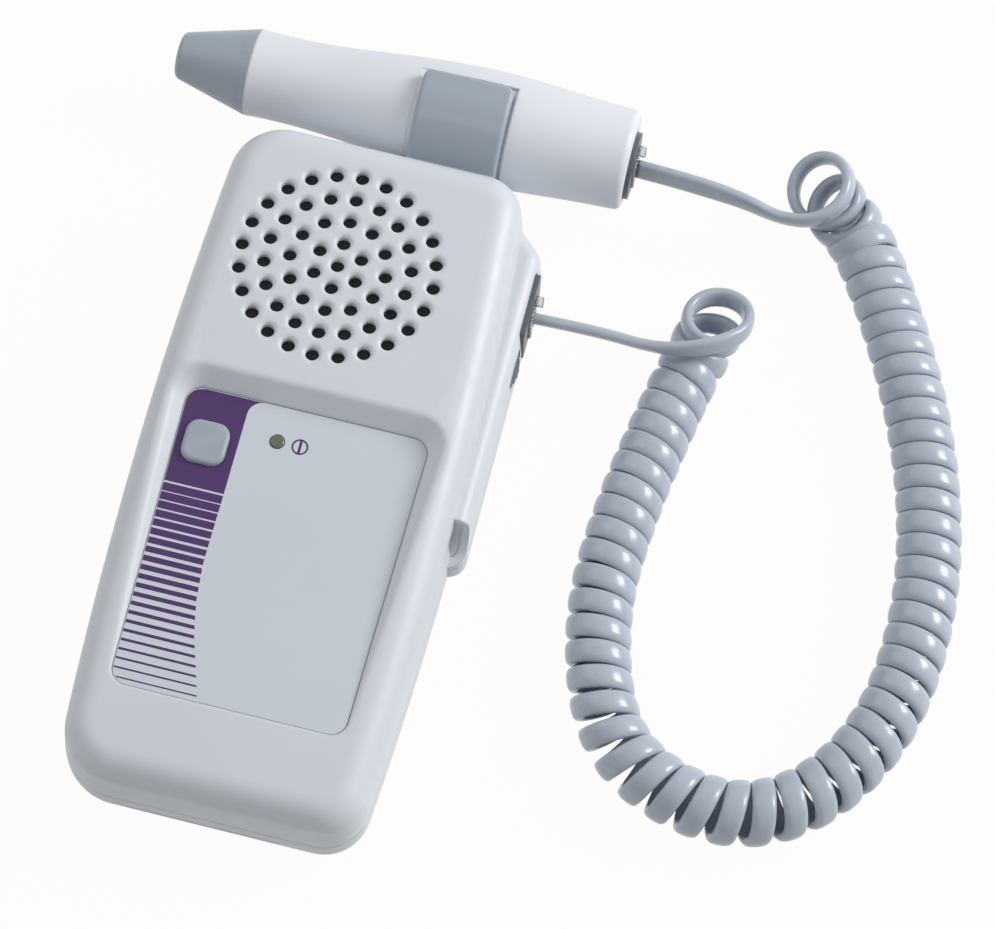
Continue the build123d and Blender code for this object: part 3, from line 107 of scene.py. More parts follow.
class Finish:
    """A node-built material: mottled colour, varied roughness, fine bump and edge wear."""

    def __init__(self, name, colour, rough, metal=0.0):
        self.material = bpy.data.materials.new(name)
        self.material.use_nodes = True
        self.tree = self.material.node_tree
        self.shader = self.tree.nodes["Principled BSDF"]
        self.shader.inputs["Metallic"].default_value = metal
        self.place = self.tree.nodes.new("ShaderNodeTexCoord").outputs["Object"]
        self.colour = colour
        self.normal = None
        self.rough = rough

    def link(self, a, b):
        self.tree.links.new(a, b)

    def node(self, kind, **settings):
        made = self.tree.nodes.new(kind)
        for key, value in settings.items():
            setattr(made, key, value)
        return made

    def noise(self, scale, detail=3.0, roughness=0.55, stretch=None):
        made = self.node("ShaderNodeTexNoise")
        made.inputs["Scale"].default_value = scale
        made.inputs["Detail"].default_value = detail
        made.inputs["Roughness"].default_value = roughness
        place = self.place
        if stretch:
            mapping = self.node("ShaderNodeMapping")
            mapping.inputs["Scale"].default_value = stretch
            self.link(self.place, mapping.inputs["Vector"])
            place = mapping.outputs["Vector"]
        self.link(place, made.inputs["Vector"])
        return made.outputs["Fac"]

    def map_range(self, value, low, high, start=0.3, end=0.7):
        made = self.node("ShaderNodeMapRange")
        made.inputs["From Min"].default_value = start
        made.inputs["From Max"].default_value = end
        made.inputs["To Min"].default_value = low
        made.inputs["To Max"].default_value = high
        self.link(value, made.inputs["Value"])
        return made.outputs["Result"]

    def mix(self, factor, a, b):
        made = self.node("ShaderNodeMix", data_type="RGBA")
        self.link(factor, made.inputs["Factor"])
        for value, place in ((a, made.inputs["A"]), (b, made.inputs["B"])):
            if isinstance(value, tuple):
                place.default_value = value
            else:
                self.link(value, place)
        return made.outputs["Result"]

    def mottle(self, amount, scale):
        """Broad, faint differences of shade over the surface, about the plain colour."""
        dark = tuple(c * (1 - amount) for c in self.colour[:3]) + (1.0,)
        light = tuple(min(1.0, c * (1 + amount)) for c in self.colour[:3]) + (1.0,)
        self.colour = self.mix(self.map_range(self.noise(scale, 4.0), 0.0, 1.0), dark, light)
        return self

    def vary(self, amount, scale):
        """Roughness that changes from place to place, as handled plastic has it."""
        level = self.rough
        out = self.map_range(self.noise(scale, 5.0), level - amount, level + amount)
        self.link(out, self.shader.inputs["Roughness"])
        return self

    def bump(self, height, strength, distance):
        made = self.node("ShaderNodeBump")
        made.inputs["Strength"].default_value = strength
        made.inputs["Distance"].default_value = distance
        self.link(height, made.inputs["Height"])
        if self.normal is not None:
            self.link(self.normal, made.inputs["Normal"])
        self.normal = made.outputs["Normal"]
        return self

    def grain(self, scale, strength, distance, stretch=None):
        """A fine relief in the shading, its depth in metres."""
        return self.bump(self.noise(scale, 3.0, 0.6, stretch), strength, distance)

    def soften(self, radius):
        """Rounds sharp edges in the shading."""
        made = self.node("ShaderNodeBevel", samples=BEVEL_SAMPLES)
        made.inputs["Radius"].default_value = radius
        self.normal = made.outputs["Normal"]
        return self

    def wear(self, colour, amount):
        """A rubbed shade along the raised edges."""
        point = self.node("ShaderNodeNewGeometry").outputs["Pointiness"]
        edge = self.map_range(point, 0.0, amount, start=0.52, end=0.56)
        self.colour = self.mix(edge, self.colour, colour)
        return self

    def done(self, **sockets):
        for key, value in sockets.items():
            self.shader.inputs[key.replace("_", " ")].default_value = value
        if isinstance(self.colour, tuple):
            self.shader.inputs["Base Color"].default_value = self.colour
        else:
            self.link(self.colour, self.shader.inputs["Base Color"])
        if not self.shader.inputs["Roughness"].is_linked:
            self.shader.inputs["Roughness"].default_value = self.rough
        if self.normal is not None:
            self.link(self.normal, self.shader.inputs["Normal"])
        return self.material


def moulded(name, colour, rough, rub, soft=0.0, texture=0.1):
    """Moulded plastic with a fine spark-eroded texture and paler or darker rubbed edges."""
    made = Finish(name, colour, rough)
    made.mottle(amount=0.018, scale=25.0)
    made.wear(rub, amount=0.35)
    made.vary(amount=0.05, scale=300.0)
    if soft:
        made.soften(soft)
    made.grain(scale=1500.0, strength=texture, distance=0.00005)
    return made.done(Specular_IOR_Level=0.42)


def metal(name, colour, rough, brushed, scale=1800.0):
    """Bare metal, brushed along the direction in which its grain is stretched."""
    made = Finish(name, colour, rough, metal=1.0)
    made.mottle(amount=0.07, scale=400.0)
    made.vary(amount=0.1, scale=900.0)
    made.grain(scale=scale, strength=0.2, distance=0.00003, stretch=brushed)
    return made.done()


# The sleeve's white plastic, painted lighter than the shell's white: a painted highlight for the
# even light on the sleeve.
probe_white_painted_light = moulded("probe_white_painted_light", srgb(239, 243, 249), 0.4, srgb(246, 248, 252), soft=0.0008)
shell_white = moulded("shell_white", srgb(226, 230, 236), 0.4, srgb(238, 240, 244), soft=0.001)
button_grey = moulded("button_grey", srgb(172, 180, 190), 0.46, srgb(188, 195, 204), soft=0.0004)
clip_grey = moulded(
    "clip_grey", srgb(174, 184, 194), 0.42, srgb(188, 197, 207), soft=0.0004, texture=0.12
)
tip_grey = moulded(
    "tip_grey", srgb(174, 185, 195), 0.36, srgb(160, 168, 176), soft=0.0003, texture=0.08
)
jack_grey = moulded("jack_grey", srgb(95, 100, 108), 0.38, srgb(118, 123, 131), soft=0.0002)
black_plastic = moulded("black_plastic", srgb(34, 35, 38), 0.42, srgb(60, 61, 64), texture=0.12)
wheel_grey = moulded("wheel_grey", srgb(120, 127, 137), 0.48, srgb(140, 147, 156), texture=0.12)

screw_steel = metal("screw_steel", srgb(178, 180, 184), 0.28, (1.0, 1.0, 6.0))
pressed_steel = metal("pressed_steel", srgb(150, 153, 158), 0.34, (1.0, 1.0, 4.0), scale=900.0)
gold = metal("contact_gold", srgb(226, 182, 92), 0.22, (1.0, 6.0, 1.0))
crystal_silver = metal("crystal_silver", srgb(205, 203, 196), 0.32, (4.0, 1.0, 1.0))


def label_film(name, colour, rough):
    """Printed polycarbonate film: an even colour under a faintly pebbled clear face."""
    made = Finish(name, colour, rough)
    made.mottle(amount=0.012, scale=35.0)
    made.vary(amount=0.03, scale=240.0)
    made.grain(scale=3200.0, strength=0.06, distance=0.00003)
    return made.done(Specular_IOR_Level=0.5, Coat_Weight=0.12, Coat_Roughness=0.3)


label_pale = label_film("label_pale", srgb(219, 225, 232), 0.4)
label_purple = label_film("label_purple", srgb(84, 54, 112), 0.36)


def cord_jacket():
    """Glossy soft jacket of the cord."""
    made = Finish("cord_jacket", srgb(186, 195, 207), 0.3)
    made.mottle(amount=0.04, scale=90.0)
    made.vary(amount=0.06, scale=420.0)
    made.grain(scale=900.0, strength=0.08, distance=0.00008)
    return made.done(Specular_IOR_Level=0.55, Coat_Weight=0.25, Coat_Roughness=0.12)


cord_grey = cord_jacket()


def clear_plastic():
    """Clear plastic of the modular plugs."""
    made = Finish("plug_clear", srgb(236, 240, 244), 0.09)
    made.mottle(amount=0.02, scale=300.0)
    made.vary(amount=0.04, scale=500.0)
    made.grain(scale=700.0, strength=0.15, distance=0.00006)
    return made.done(Transmission_Weight=0.85, IOR=1.49, Specular_IOR_Level=0.5)


clear = clear_plastic()


def lamp_lens():
    """Unlit tinted lens."""
    made = Finish("lamp_lens", srgb(112, 112, 98), 0.2)
    made.mottle(amount=0.08, scale=500.0)
    made.vary(amount=0.05, scale=800.0)
    made.grain(scale=1600.0, strength=0.06, distance=0.00003)
    return made.done(Specular_IOR_Level=0.6, Coat_Weight=0.4, Coat_Roughness=0.08)


lamp = lamp_lens()


def circuit_board():
    """Solder mask over copper lines, which show through as a lighter green."""
    made = Finish("circuit_board", srgb(26, 92, 58), 0.36)
    lines = made.node("ShaderNodeTexBrick")
    lines.inputs["Scale"].default_value = 190.0
    lines.inputs["Mortar Size"].default_value = 0.035
    lines.inputs["Color1"].default_value = srgb(24, 88, 55)
    lines.inputs["Color2"].default_value = srgb(30, 100, 62)
    lines.inputs["Mortar"].default_value = srgb(52, 128, 80)
    made.link(made.place, lines.inputs["Vector"])
    made.colour = lines.outputs["Color"]
    made.vary(amount=0.06, scale=400.0)
    made.bump(lines.outputs["Fac"], strength=0.25, distance=0.00003)
    return made.done(Specular_IOR_Level=0.5)


board_green = circuit_board()


def capacitor_sleeve():
    """Shrunk plastic sleeve."""
    made = Finish("capacitor_sleeve", srgb(32, 40, 70), 0.3)
    made.mottle(amount=0.1, scale=300.0)
    made.vary(amount=0.06, scale=500.0)
    made.grain(scale=900.0, strength=0.12, distance=0.00004)
    return made.done(Specular_IOR_Level=0.5)


capacitor = capacitor_sleeve()


def woven_cloth():
    """Fine black acoustic cloth, woven both ways."""
    made = Finish("acoustic_cloth", srgb(30, 31, 34), 0.85)
    height = None
    for stretch in ((1.0, 0.0, 0.0), (0.0, 1.0, 0.0)):
        mapping = made.node("ShaderNodeMapping")
        mapping.inputs["Scale"].default_value = stretch
        made.link(made.place, mapping.inputs["Vector"])
        wave = made.node("ShaderNodeTexWave", bands_direction="DIAGONAL")
        wave.inputs["Scale"].default_value = 900.0
        wave.inputs["Distortion"].default_value = 0.6
        made.link(mapping.outputs["Vector"], wave.inputs["Vector"])
        made.bump(wave.outputs["Fac"], strength=0.5, distance=0.0001)
        height = wave.outputs["Fac"]
    made.colour = made.mix(height, srgb(24, 25, 28), srgb(46, 47, 51))
    made.vary(amount=0.08, scale=600.0)
    return made.done(Sheen_Weight=0.3)


acoustic_cloth = woven_cloth()


def matt(name, colour, rough, scale, height=0.00012, strength=0.4):
    """A dull, granular surface."""
    made = Finish(name, colour, rough)
    made.mottle(amount=0.08, scale=200.0)
    made.vary(amount=0.08, scale=400.0)
    made.grain(scale=scale, strength=strength, distance=height)
    return made.done(Specular_IOR_Level=0.35)


cone_paper = matt("cone_paper", srgb(52, 50, 48), 0.82, 500.0)
gasket_foam = matt("gasket_foam", srgb(58, 60, 64), 0.92, 1400.0, height=0.0003, strength=0.8)
ferrite = matt("ferrite", srgb(62, 63, 66), 0.55, 900.0)
chip_epoxy = matt("chip_epoxy", srgb(38, 38, 40), 0.5, 1600.0, height=0.00006)
backing_resin = matt("backing_resin", srgb(70, 62, 54), 0.6, 600.0)
lens_rubber = matt("lens_rubber", srgb(176, 184, 192), 0.5, 900.0, height=0.00006, strength=0.2)


def wire_sleeve():
    """Red and black insulation, told apart by where each wire runs."""
    made = Finish("wire_sleeve", srgb(150, 30, 32), 0.4)
    side = made.noise(scale=40.0, detail=0.0)
    step = made.map_range(side, 0.0, 1.0, start=0.49, end=0.51)
    made.colour = made.mix(step, srgb(150, 30, 32), srgb(30, 30, 33))
    made.vary(amount=0.06, scale=500.0)
    made.grain(scale=1200.0, strength=0.15, distance=0.00005)
    return made.done(Specular_IOR_Level=0.5)


wires = wire_sleeve()


def battery_jacket():
    """Plain battery: its steel can and dark band in one dark, half-metallic finish, without any
    lettering.
    """
    made = Finish("battery_jacket", srgb(70, 74, 80), 0.3, metal=0.6)
    made.mottle(amount=0.05, scale=150.0)
    made.vary(amount=0.06, scale=300.0)
    made.grain(scale=1500.0, strength=0.1, distance=0.00004, stretch=(1.0, 8.0, 1.0))
    return made.done()


battery_case = battery_jacket()

finishes = {
    shell_white: "front_shell rear_shell battery_door",
    probe_white_painted_light: "probe_sleeve",
    button_grey: "power_button",
    clip_grey: "probe_clip",
    tip_grey: "probe_tip",
    jack_grey: "unit_jack probe_jack",
    black_plastic: "power_switch switch_plunger battery_snap",
    wheel_grey: "volume_wheel",
    screw_steel: "case_screws board_screws clip_screws",
    pressed_steel: "speaker_frame volume_pot",
    gold: "unit_jack_contacts unit_plug_contacts probe_jack_contacts probe_plug_contacts",
    crystal_silver: "transducer_crystals",
    label_pale: "front_label",
    clear: "unit_plug probe_plug",
    lamp: "status_lamp",
    board_green: "main_board probe_board",
    capacitor: "board_capacitors",
    acoustic_cloth: "grille_cloth",
    cone_paper: "speaker_cone",
    gasket_foam: "speaker_gasket",
    ferrite: "speaker_magnet",
    chip_epoxy: "board_chips probe_chips",
    backing_resin: "crystal_backing",
    lens_rubber: "probe_lens",
    wires: "battery_leads speaker_leads crystal_wires jack_wires",
    battery_case: "battery_9v",
    cord_grey: "cord_coil cord_lead_unit cord_lead_probe",
}
for material, names in finishes.items():
    for name in names.split():
        for place in nodes[name].material_slots:
            place.material = material


# ---------------------------------------------------------------- the cord

# Lengths of the cord are in millimetres, as its routes are.
CORD_WIDTH = 4.8
CORD_THICKNESS = 2.4
SECTION_POWER = 2.6  # of the superellipse that its section follows
SECTION_POINTS = 22
COIL_RADIUS = 5.55
RINGS_PER_TURN = 36
PITCH_LIMIT = 0.19  # the most that a bend opens the pitch, as a share
BEND_WINDOW = 9  # points on each side over which the bend is averaged
AXIS_STEP = 0.5
LEAD_STEP = 0.8

UNIT_EXIT = (34.3, 47.05, 15.0)
PROBE_EXIT = (50.55, 85.5, 15.0)
unit_lead_route = (
    UNIT_EXIT,
    (50.0, 47.8, 15.0),
    (64.5, 46.6, 15.7),
)
coil_route = (
    (74.0, 58.6, 14.4),
    (73.9, 57.0, 12.2),
    (72.8, 54.0, 9.0),
    (71.5, 49.3, 6.9),
    (70.0, 42.5, 6.8),
    (68.2, 32.0, 6.8),
    (65.6, 15.0, 6.8),
    (64.5, -6.1, 6.8),
    (69.4, -26.2, 6.8),
    (77.2, -37.4, 6.8),
    (90.0, -43.2, 6.8),
    (102.8, -43.6, 6.8),
    (114.0, -37.8, 6.8),
    (123.0, -26.4, 6.8),
    (128.4, -11.0, 6.8),
    (129.2, 10.5, 6.8),
    (125.3, 31.9, 6.8),
    (117.7, 52.7, 6.8),
    (108.4, 70.6, 6.9),
    (100.5, 83.3, 7.1),
    (96.6, 87.2, 7.3),
    (91.6, 91.2, 7.9),
    (87.7, 92.6, 11.8),
    (86.5, 92.1, 15.3),
)
probe_lead_route = (
    (73.0, 84.0, 15.3),
    (60.0, 85.2, 15.1),
    PROBE_EXIT,
)

# The first and last turns open into rings that lie nearly flat. For each end: the direction
# that its ring faces along, how far along the axis the turning to it lasts and by what power it
# fades, the share by which the pitch closes there (opens, where negative) and over what length,
# how much the radius grows slowly, over SLOW_TURNS, and how much quickly, over the part of a turn
# that fade gives.
START_RING = {
    "facing": (0.011, -0.326, -0.946),
    "reach": 15.0,
    "power": 1.3,
    "close": 0.45,
    "near": 2.6,
    "slow": 0.1,
    "quick": 2.3,
    "fade": 0.2,
}
END_RING = {
    "facing": (-0.326, -0.174, 0.929),
    "reach": 21.0,
    "power": 2.5,
    "close": -0.4,
    "near": 2.5,
    "slow": 1.35,
    "quick": 2.6,
    "fade": 0.18,
}
SLOW_TURNS = 1.6
START_DEGREES = -60.0  # where the first and last turns meet the leads, round the vertical
END_DEGREES = -110.0

# How far each lead runs straight on from the coil, the direction that its wide side faces along
# at the plug, and the part of its way over which it twists between that and the coil's own.
UNIT_LEAD_STRAIGHT = 5.0
UNIT_LEAD_FACING = (0.0, 0.35, -0.93)
UNIT_LEAD_TWIST = (0.5, 1.0)
PROBE_LEAD_STRAIGHT = 3.0
PROBE_LEAD_FACING = (0.0, 0.25, 0.97)
PROBE_LEAD_TWIST = (0.0, 0.6)


def nurbs_line(points):
    """The smooth NURBS line that these control points give, as a row of points."""
    curve = bpy.data.curves.new("route", "CURVE")
    curve.dimensions = "3D"
    curve.resolution_u = 40
    spline = curve.splines.new("NURBS")
    spline.points.add(len(points) - 1)
    for point, place in zip(spline.points, points):
        point.co = (*mm(*place), 1.0)
    spline.order_u = 3
    spline.use_endpoint_u = True
    carrier = bpy.data.objects.new("route", curve)
    scene.collection.objects.link(carrier)
    mesh = bpy.data.meshes.new_from_object(carrier)
    line = np.array([v.co for v in mesh.vertices]) / MM
    bpy.data.objects.remove(carrier)
    bpy.data.curves.remove(curve)
    bpy.data.meshes.remove(mesh)
    return line


def lengths(line):
    """The length run along the line at each of its points."""
    return np.concatenate(([0.0], np.cumsum(np.linalg.norm(np.diff(line, axis=0), axis=1))))


def spaced(line, step):
    """The line again, with its points a step apart."""
    run = lengths(line)
    places = np.linspace(0.0, run[-1], int(math.ceil(run[-1] / step)) + 1)
    return np.stack([np.interp(places, run, line[:, k]) for k in range(3)], 1)


def unit(vectors):
    return vectors / np.linalg.norm(vectors, axis=-1, keepdims=True)


def directions(line):
    return unit(np.gradient(line, axis=0))


def carried_frame(along):
    """Two directions across the line at each point, carried along it without twist."""
    side = np.zeros_like(along)
    side[0] = unit(np.array([1.0, 0.0, 0.0]) - along[0, 0] * along[0])
    for i in range(1, len(along)):
        side[i] = unit(side[i - 1] - (side[i - 1] @ along[i]) * along[i])
    return side, np.cross(along, side)


def coil(axis):
    """The cord's centreline round the axis, and the direction that its wide side faces along.

    The turns lie side by side on the inner side of each bend, so their pitch grows with it.
    """
    along = directions(axis)
    run = lengths(axis)
    bend = np.linalg.norm(np.gradient(along, axis=0), axis=1) / np.gradient(run)
    window = np.hanning(2 * BEND_WINDOW + 3)[1:-1]
    bend = np.convolve(np.pad(bend, BEND_WINDOW, mode="edge"), window / window.sum(), "valid")
    pitch = CORD_WIDTH / (1.0 - np.minimum(COIL_RADIUS * bend, PITCH_LIMIT))
    facing = along.copy()
    for ring, away in ((START_RING, run), (END_RING, run[-1] - run)):
        pitch = pitch * (1.0 - ring["close"] * np.exp(-away / ring["near"]))
        share = (np.clip(away / ring["reach"], 0.0, 1.0) ** ring["power"])[:, None]
        facing = unit((1.0 - share) * np.array(ring["facing"]) + share * facing)
    steps = 0.5 * (1.0 / pitch[1:] + 1.0 / pitch[:-1]) * np.diff(run)
    turns = np.concatenate(([0.0], np.cumsum(steps)))
    side, other = carried_frame(facing)
    phases = []
    for degrees, at in ((START_DEGREES, 0), (END_DEGREES, -1)):
        wanted = np.array([math.cos(math.radians(degrees)), math.sin(math.radians(degrees)), 0.0])
        phases.append(math.atan2(wanted @ other[at], wanted @ side[at]))
    part = (phases[0] - phases[1]) / (2 * math.pi)
    count = round(turns[-1] - part) + part
    turns *= count / turns[-1]
    at = np.linspace(0.0, count, int(RINGS_PER_TURN * count) + 1)
    where = np.interp(at, turns, run)

    def there(values):
        return np.stack([np.interp(where, run, values[:, k]) for k in range(3)], 1)

    radius = np.full_like(at, COIL_RADIUS)
    for ring, away in ((START_RING, at), (END_RING, count - at)):
        radius += ring["slow"] * np.exp(-away / SLOW_TURNS)
        radius += ring["quick"] * np.exp(-away / ring["fade"])
    angle = phases[0] - 2 * math.pi * at
    across = np.cos(angle)[:, None] * there(side) + np.sin(angle)[:, None] * there(other)
    return there(axis) + radius[:, None] * unit(across), unit(there(facing))


def tube(name, line, wide, capped):
    """A flat cord with rounded sides along the line, its wide side along the given directions."""
    along = directions(line)
    wide = unit(wide - np.sum(wide * along, axis=1, keepdims=True) * along)
    thin = np.cross(along, wide)
    angles = np.linspace(0.0, 2 * math.pi, SECTION_POINTS, endpoint=False)
    power = 2.0 / SECTION_POWER
    u = 0.5 * CORD_WIDTH * np.sign(np.cos(angles)) * np.abs(np.cos(angles)) ** power
    v = 0.5 * CORD_THICKNESS * np.sign(np.sin(angles)) * np.abs(np.sin(angles)) ** power
    rings = line[:, None, :] + u[None, :, None] * wide[:, None, :]
    rings = rings + v[None, :, None] * thin[:, None, :]
    vertices = rings.reshape(-1, 3) * MM
    n = SECTION_POINTS
    faces = []
    for i in range(len(line) - 1):
        for j in range(n):
            k = (j + 1) % n
            faces.append((i * n + j, i * n + k, (i + 1) * n + k, (i + 1) * n + j))
    if capped == "start":
        faces.append(tuple(range(n))[::-1])
    if capped == "end":
        faces.append(tuple(range(len(vertices) - n, len(vertices))))
    return mesh_object(name, vertices, faces, cord_grey)


def turned(start, end, count, twist):
    """Directions that turn from one to the other over the given part of the way."""
    begin, finish = twist
    share = np.clip((np.linspace(0.0, 1.0, count) - begin) / (finish - begin), 0.0, 1.0)
    share = (share * share * (3 - 2 * share))[:, None]
    return unit((1 - share) * np.asarray(start) + share * np.asarray(end))


turns, facing_there = coil(spaced(nurbs_line(coil_route), AXIS_STEP))
heading = directions(turns)
before_coil = turns[0] - UNIT_LEAD_STRAIGHT * heading[0]
after_coil = turns[-1] + PROBE_LEAD_STRAIGHT * heading[-1]
unit_lead = spaced(nurbs_line((*unit_lead_route, before_coil, turns[0])), LEAD_STEP)
probe_lead = spaced(nurbs_line((turns[-1], after_coil, *probe_lead_route)), LEAD_STEP)
unit_wide = turned(UNIT_LEAD_FACING, facing_there[0], len(unit_lead), UNIT_LEAD_TWIST)
probe_wide = turned(facing_there[-1], PROBE_LEAD_FACING, len(probe_lead), PROBE_LEAD_TWIST)

# The first steps of the probe's lead are part of the coil's piece, so the two pieces meet where
# neither moves.
KEPT_STEPS = 3
main_line = np.concatenate((unit_lead[:-1], turns, probe_lead[1:KEPT_STEPS + 1]))
main_wide = np.concatenate((unit_wide[:-1], facing_there, probe_wide[1:KEPT_STEPS + 1]))
main_cord = tube("curly_cord", main_line, main_wide, "start")
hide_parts("cord_lead_unit", "cord_coil")
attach(main_cord, "unit")

tail_line = probe_lead[KEPT_STEPS:]
tail_cord = tube("probe_lead", tail_line, probe_wide[KEPT_STEPS:], "end")
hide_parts("cord_lead_probe")
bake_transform(tail_cord)


# ---------------------------------------------------------------- foot of the side boss

# The boss ends in a hollow arc, seen along x: its centre in y and z and its radius, the angles
# of its two ends, and the x of its two sides. The lining lies from FOOT_SUNK to FOOT_THICK
# outside that arc, which is under the boss's surface.
FOOT_CENTRE = (-10.913, 21.778)
FOOT_RADIUS = 8.587
FOOT_SPAN = (-73.0, -5.9)
FOOT_SIDES = (29.5, 35.4)
FOOT_SUNK = 0.02
FOOT_THICK = 1.2
FOOT_STEPS = 24


def boss_foot():
    """Lining that closes the hollow slope at the foot of the boss, just under its surface."""
    sections = []
    for step in range(FOOT_STEPS + 1):
        angle = math.radians(FOOT_SPAN[0] + (FOOT_SPAN[1] - FOOT_SPAN[0]) * step / FOOT_STEPS)
        corners = []
        for side, depth in ((0, FOOT_SUNK), (1, FOOT_SUNK), (1, FOOT_THICK), (0, FOOT_THICK)):
            reach = FOOT_RADIUS + depth
            corners.append(mm(
                FOOT_SIDES[side],
                FOOT_CENTRE[0] + reach * math.cos(angle),
                FOOT_CENTRE[1] + reach * math.sin(angle),
            ))
        sections.append(corners)
    vertices = [corner for corners in sections for corner in corners]
    faces = [(0, 1, 2, 3), tuple(4 * FOOT_STEPS + k for k in (3, 2, 1, 0))]
    for step in range(FOOT_STEPS):
        a, b = 4 * step, 4 * (step + 1)
        for k in range(4):
            faces.append((a + k, b + k, b + (k + 1) % 4, a + (k + 1) % 4))
    made = mesh_object("boss_foot", vertices, faces, shell_white, smooth=False)
    builder = bmesh.new()
    builder.from_mesh(made.data)
    bmesh.ops.recalc_face_normals(builder, faces=builder.faces)
    builder.to_mesh(made.data)
    builder.free()
    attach(made, "unit")


boss_foot()


# ---------------------------------------------------------------- print on the label

LABEL_TOP = 11.2
LABEL_BOTTOM = -53.0
LABEL_HALF_TOP = 25.0
LABEL_HALF_BOTTOM = 23.7
LABEL_CORNER = 3.4
PRINT_INSET = 0.12
PRINT_HEIGHT = 26.03


def label_left(y):
    """The left edge of the print at y, with the label's rounded corners."""
    share = (LABEL_TOP - y) / (LABEL_TOP - LABEL_BOTTOM)
    edge = -(LABEL_HALF_TOP + share * (LABEL_HALF_BOTTOM - LABEL_HALF_TOP)) + PRINT_INSET
    for corner, sign in ((LABEL_TOP - PRINT_INSET, 1.0), (LABEL_BOTTOM + PRINT_INSET, -1.0)):
        depth = (corner - y) * sign
        if depth < LABEL_CORNER:
            inside = LABEL_CORNER - max(depth, 0.0)
            edge += LABEL_CORNER - math.sqrt(max(LABEL_CORNER**2 - inside**2, 0.0))
    return edge


def printed(name, outlines):
    """Flat faces on the label, facing up, one for each outline."""
    builder = bmesh.new()
    for outline in outlines:
        builder.faces.new([builder.verts.new(mm(x, y, PRINT_HEIGHT)) for x, y in outline])
    bmesh.ops.recalc_face_normals(builder, faces=builder.faces)
    for face in builder.faces:
        if face.normal.z < 0:
            face.normal_flip()
    mesh = bpy.data.meshes.new(name)
    builder.to_mesh(mesh)
    builder.free()
    made = new_object(name, mesh, label_purple)
    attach(made, "unit")


BAND_RIGHT = -12.2
BAND_BOTTOM = -9.8
PALE_CORNER = 3.0
CORNER_STEPS = 8
STRIPE_COUNT = 22
STRIPE_FIRST = -11.1
STRIPE_LAST = -51.9
STRIPE_THICK = 1.75
STRIPE_THIN = 0.28
SWEEP = ((-25.0, -12.3), (-33.0, -11.5), (-40.0, -10.0), (-46.0, -8.0), (-51.9, -6.2))


def stripe_right(y):
    """Where the stripes end: nearly straight down to the sweep's first point, then swept."""
    if y >= SWEEP[0][0]:
        return BAND_RIGHT - 0.1 * (y - BAND_BOTTOM) / (SWEEP[0][0] - BAND_BOTTOM)
    return float(np.interp(-y, [-p[0] for p in SWEEP], [p[1] for p in SWEEP]))


def band_outline():
    """The solid band: the label's corner on its left, and the pale panel's cut into its right."""
    top = LABEL_TOP - PRINT_INSET
    left = [(label_left(y), y) for y in np.linspace(top, top - LABEL_CORNER, CORNER_STEPS + 1)]
    left.append((label_left(BAND_BOTTOM), BAND_BOTTOM))
    right = [(BAND_RIGHT, BAND_BOTTOM), (BAND_RIGHT, top - PALE_CORNER)]
    for step in range(1, CORNER_STEPS + 1):
        angle = math.pi - step * math.pi / (2 * CORNER_STEPS)
        right.append((
            BAND_RIGHT + PALE_CORNER + PALE_CORNER * math.cos(angle),
            top - PALE_CORNER + PALE_CORNER * math.sin(angle),
        ))
    return left + right


stripes = []
for index in range(STRIPE_COUNT):
    share = index / (STRIPE_COUNT - 1)
    middle = STRIPE_FIRST + share * (STRIPE_LAST - STRIPE_FIRST)
    half = 0.5 * (STRIPE_THICK + share * (STRIPE_THIN - STRIPE_THICK))
    low, high = middle - half, middle + half
    stripes.append([
        (label_left(low), low),
        (stripe_right(low), low),
        (stripe_right(high), high),
        (label_left(high), high),
    ])
printed("label_band", [band_outline()])
printed("label_stripes", stripes)


POWER_X, POWER_Y = -0.1, 3.7
POWER_INNER = 1.35
POWER_OUTER = 1.68
POWER_BAR_HALF_WIDTH = 0.26
POWER_BAR_HALF_HEIGHT = 1.4


def ring_cells(x, y, inner, outer, count=40):
    """The outlines of a flat ring, as a row of four-sided faces."""
    cells = []
    for step in range(count):
        a, b = (2.0 * math.pi * (step + d) / count for d in (0, 1))
        cells.append([
            (x + inner * math.cos(a), y + inner * math.sin(a)),
            (x + outer * math.cos(a), y + outer * math.sin(a)),
            (x + outer * math.cos(b), y + outer * math.sin(b)),
            (x + inner * math.cos(b), y + inner * math.sin(b)),
        ])
    return cells


power_mark = ring_cells(POWER_X, POWER_Y, POWER_INNER, POWER_OUTER)
power_mark.append([
    (POWER_X - POWER_BAR_HALF_WIDTH, POWER_Y - POWER_BAR_HALF_HEIGHT),
    (POWER_X + POWER_BAR_HALF_WIDTH, POWER_Y - POWER_BAR_HALF_HEIGHT),
    (POWER_X + POWER_BAR_HALF_WIDTH, POWER_Y + POWER_BAR_HALF_HEIGHT),
    (POWER_X - POWER_BAR_HALF_WIDTH, POWER_Y + POWER_BAR_HALF_HEIGHT),
])
printed("power_mark", power_mark)


# ---------------------------------------------------------------- floor and light


FLOOR_HALF = 6.0
FLOOR_COLOUR = (0.5, 0.51, 0.52, 1.0)
FLOOR_GLOW = 0.97
SKY_COLOUR = (0.96, 0.98, 1.0, 1.0)
SKY_STRENGTH = 0.4


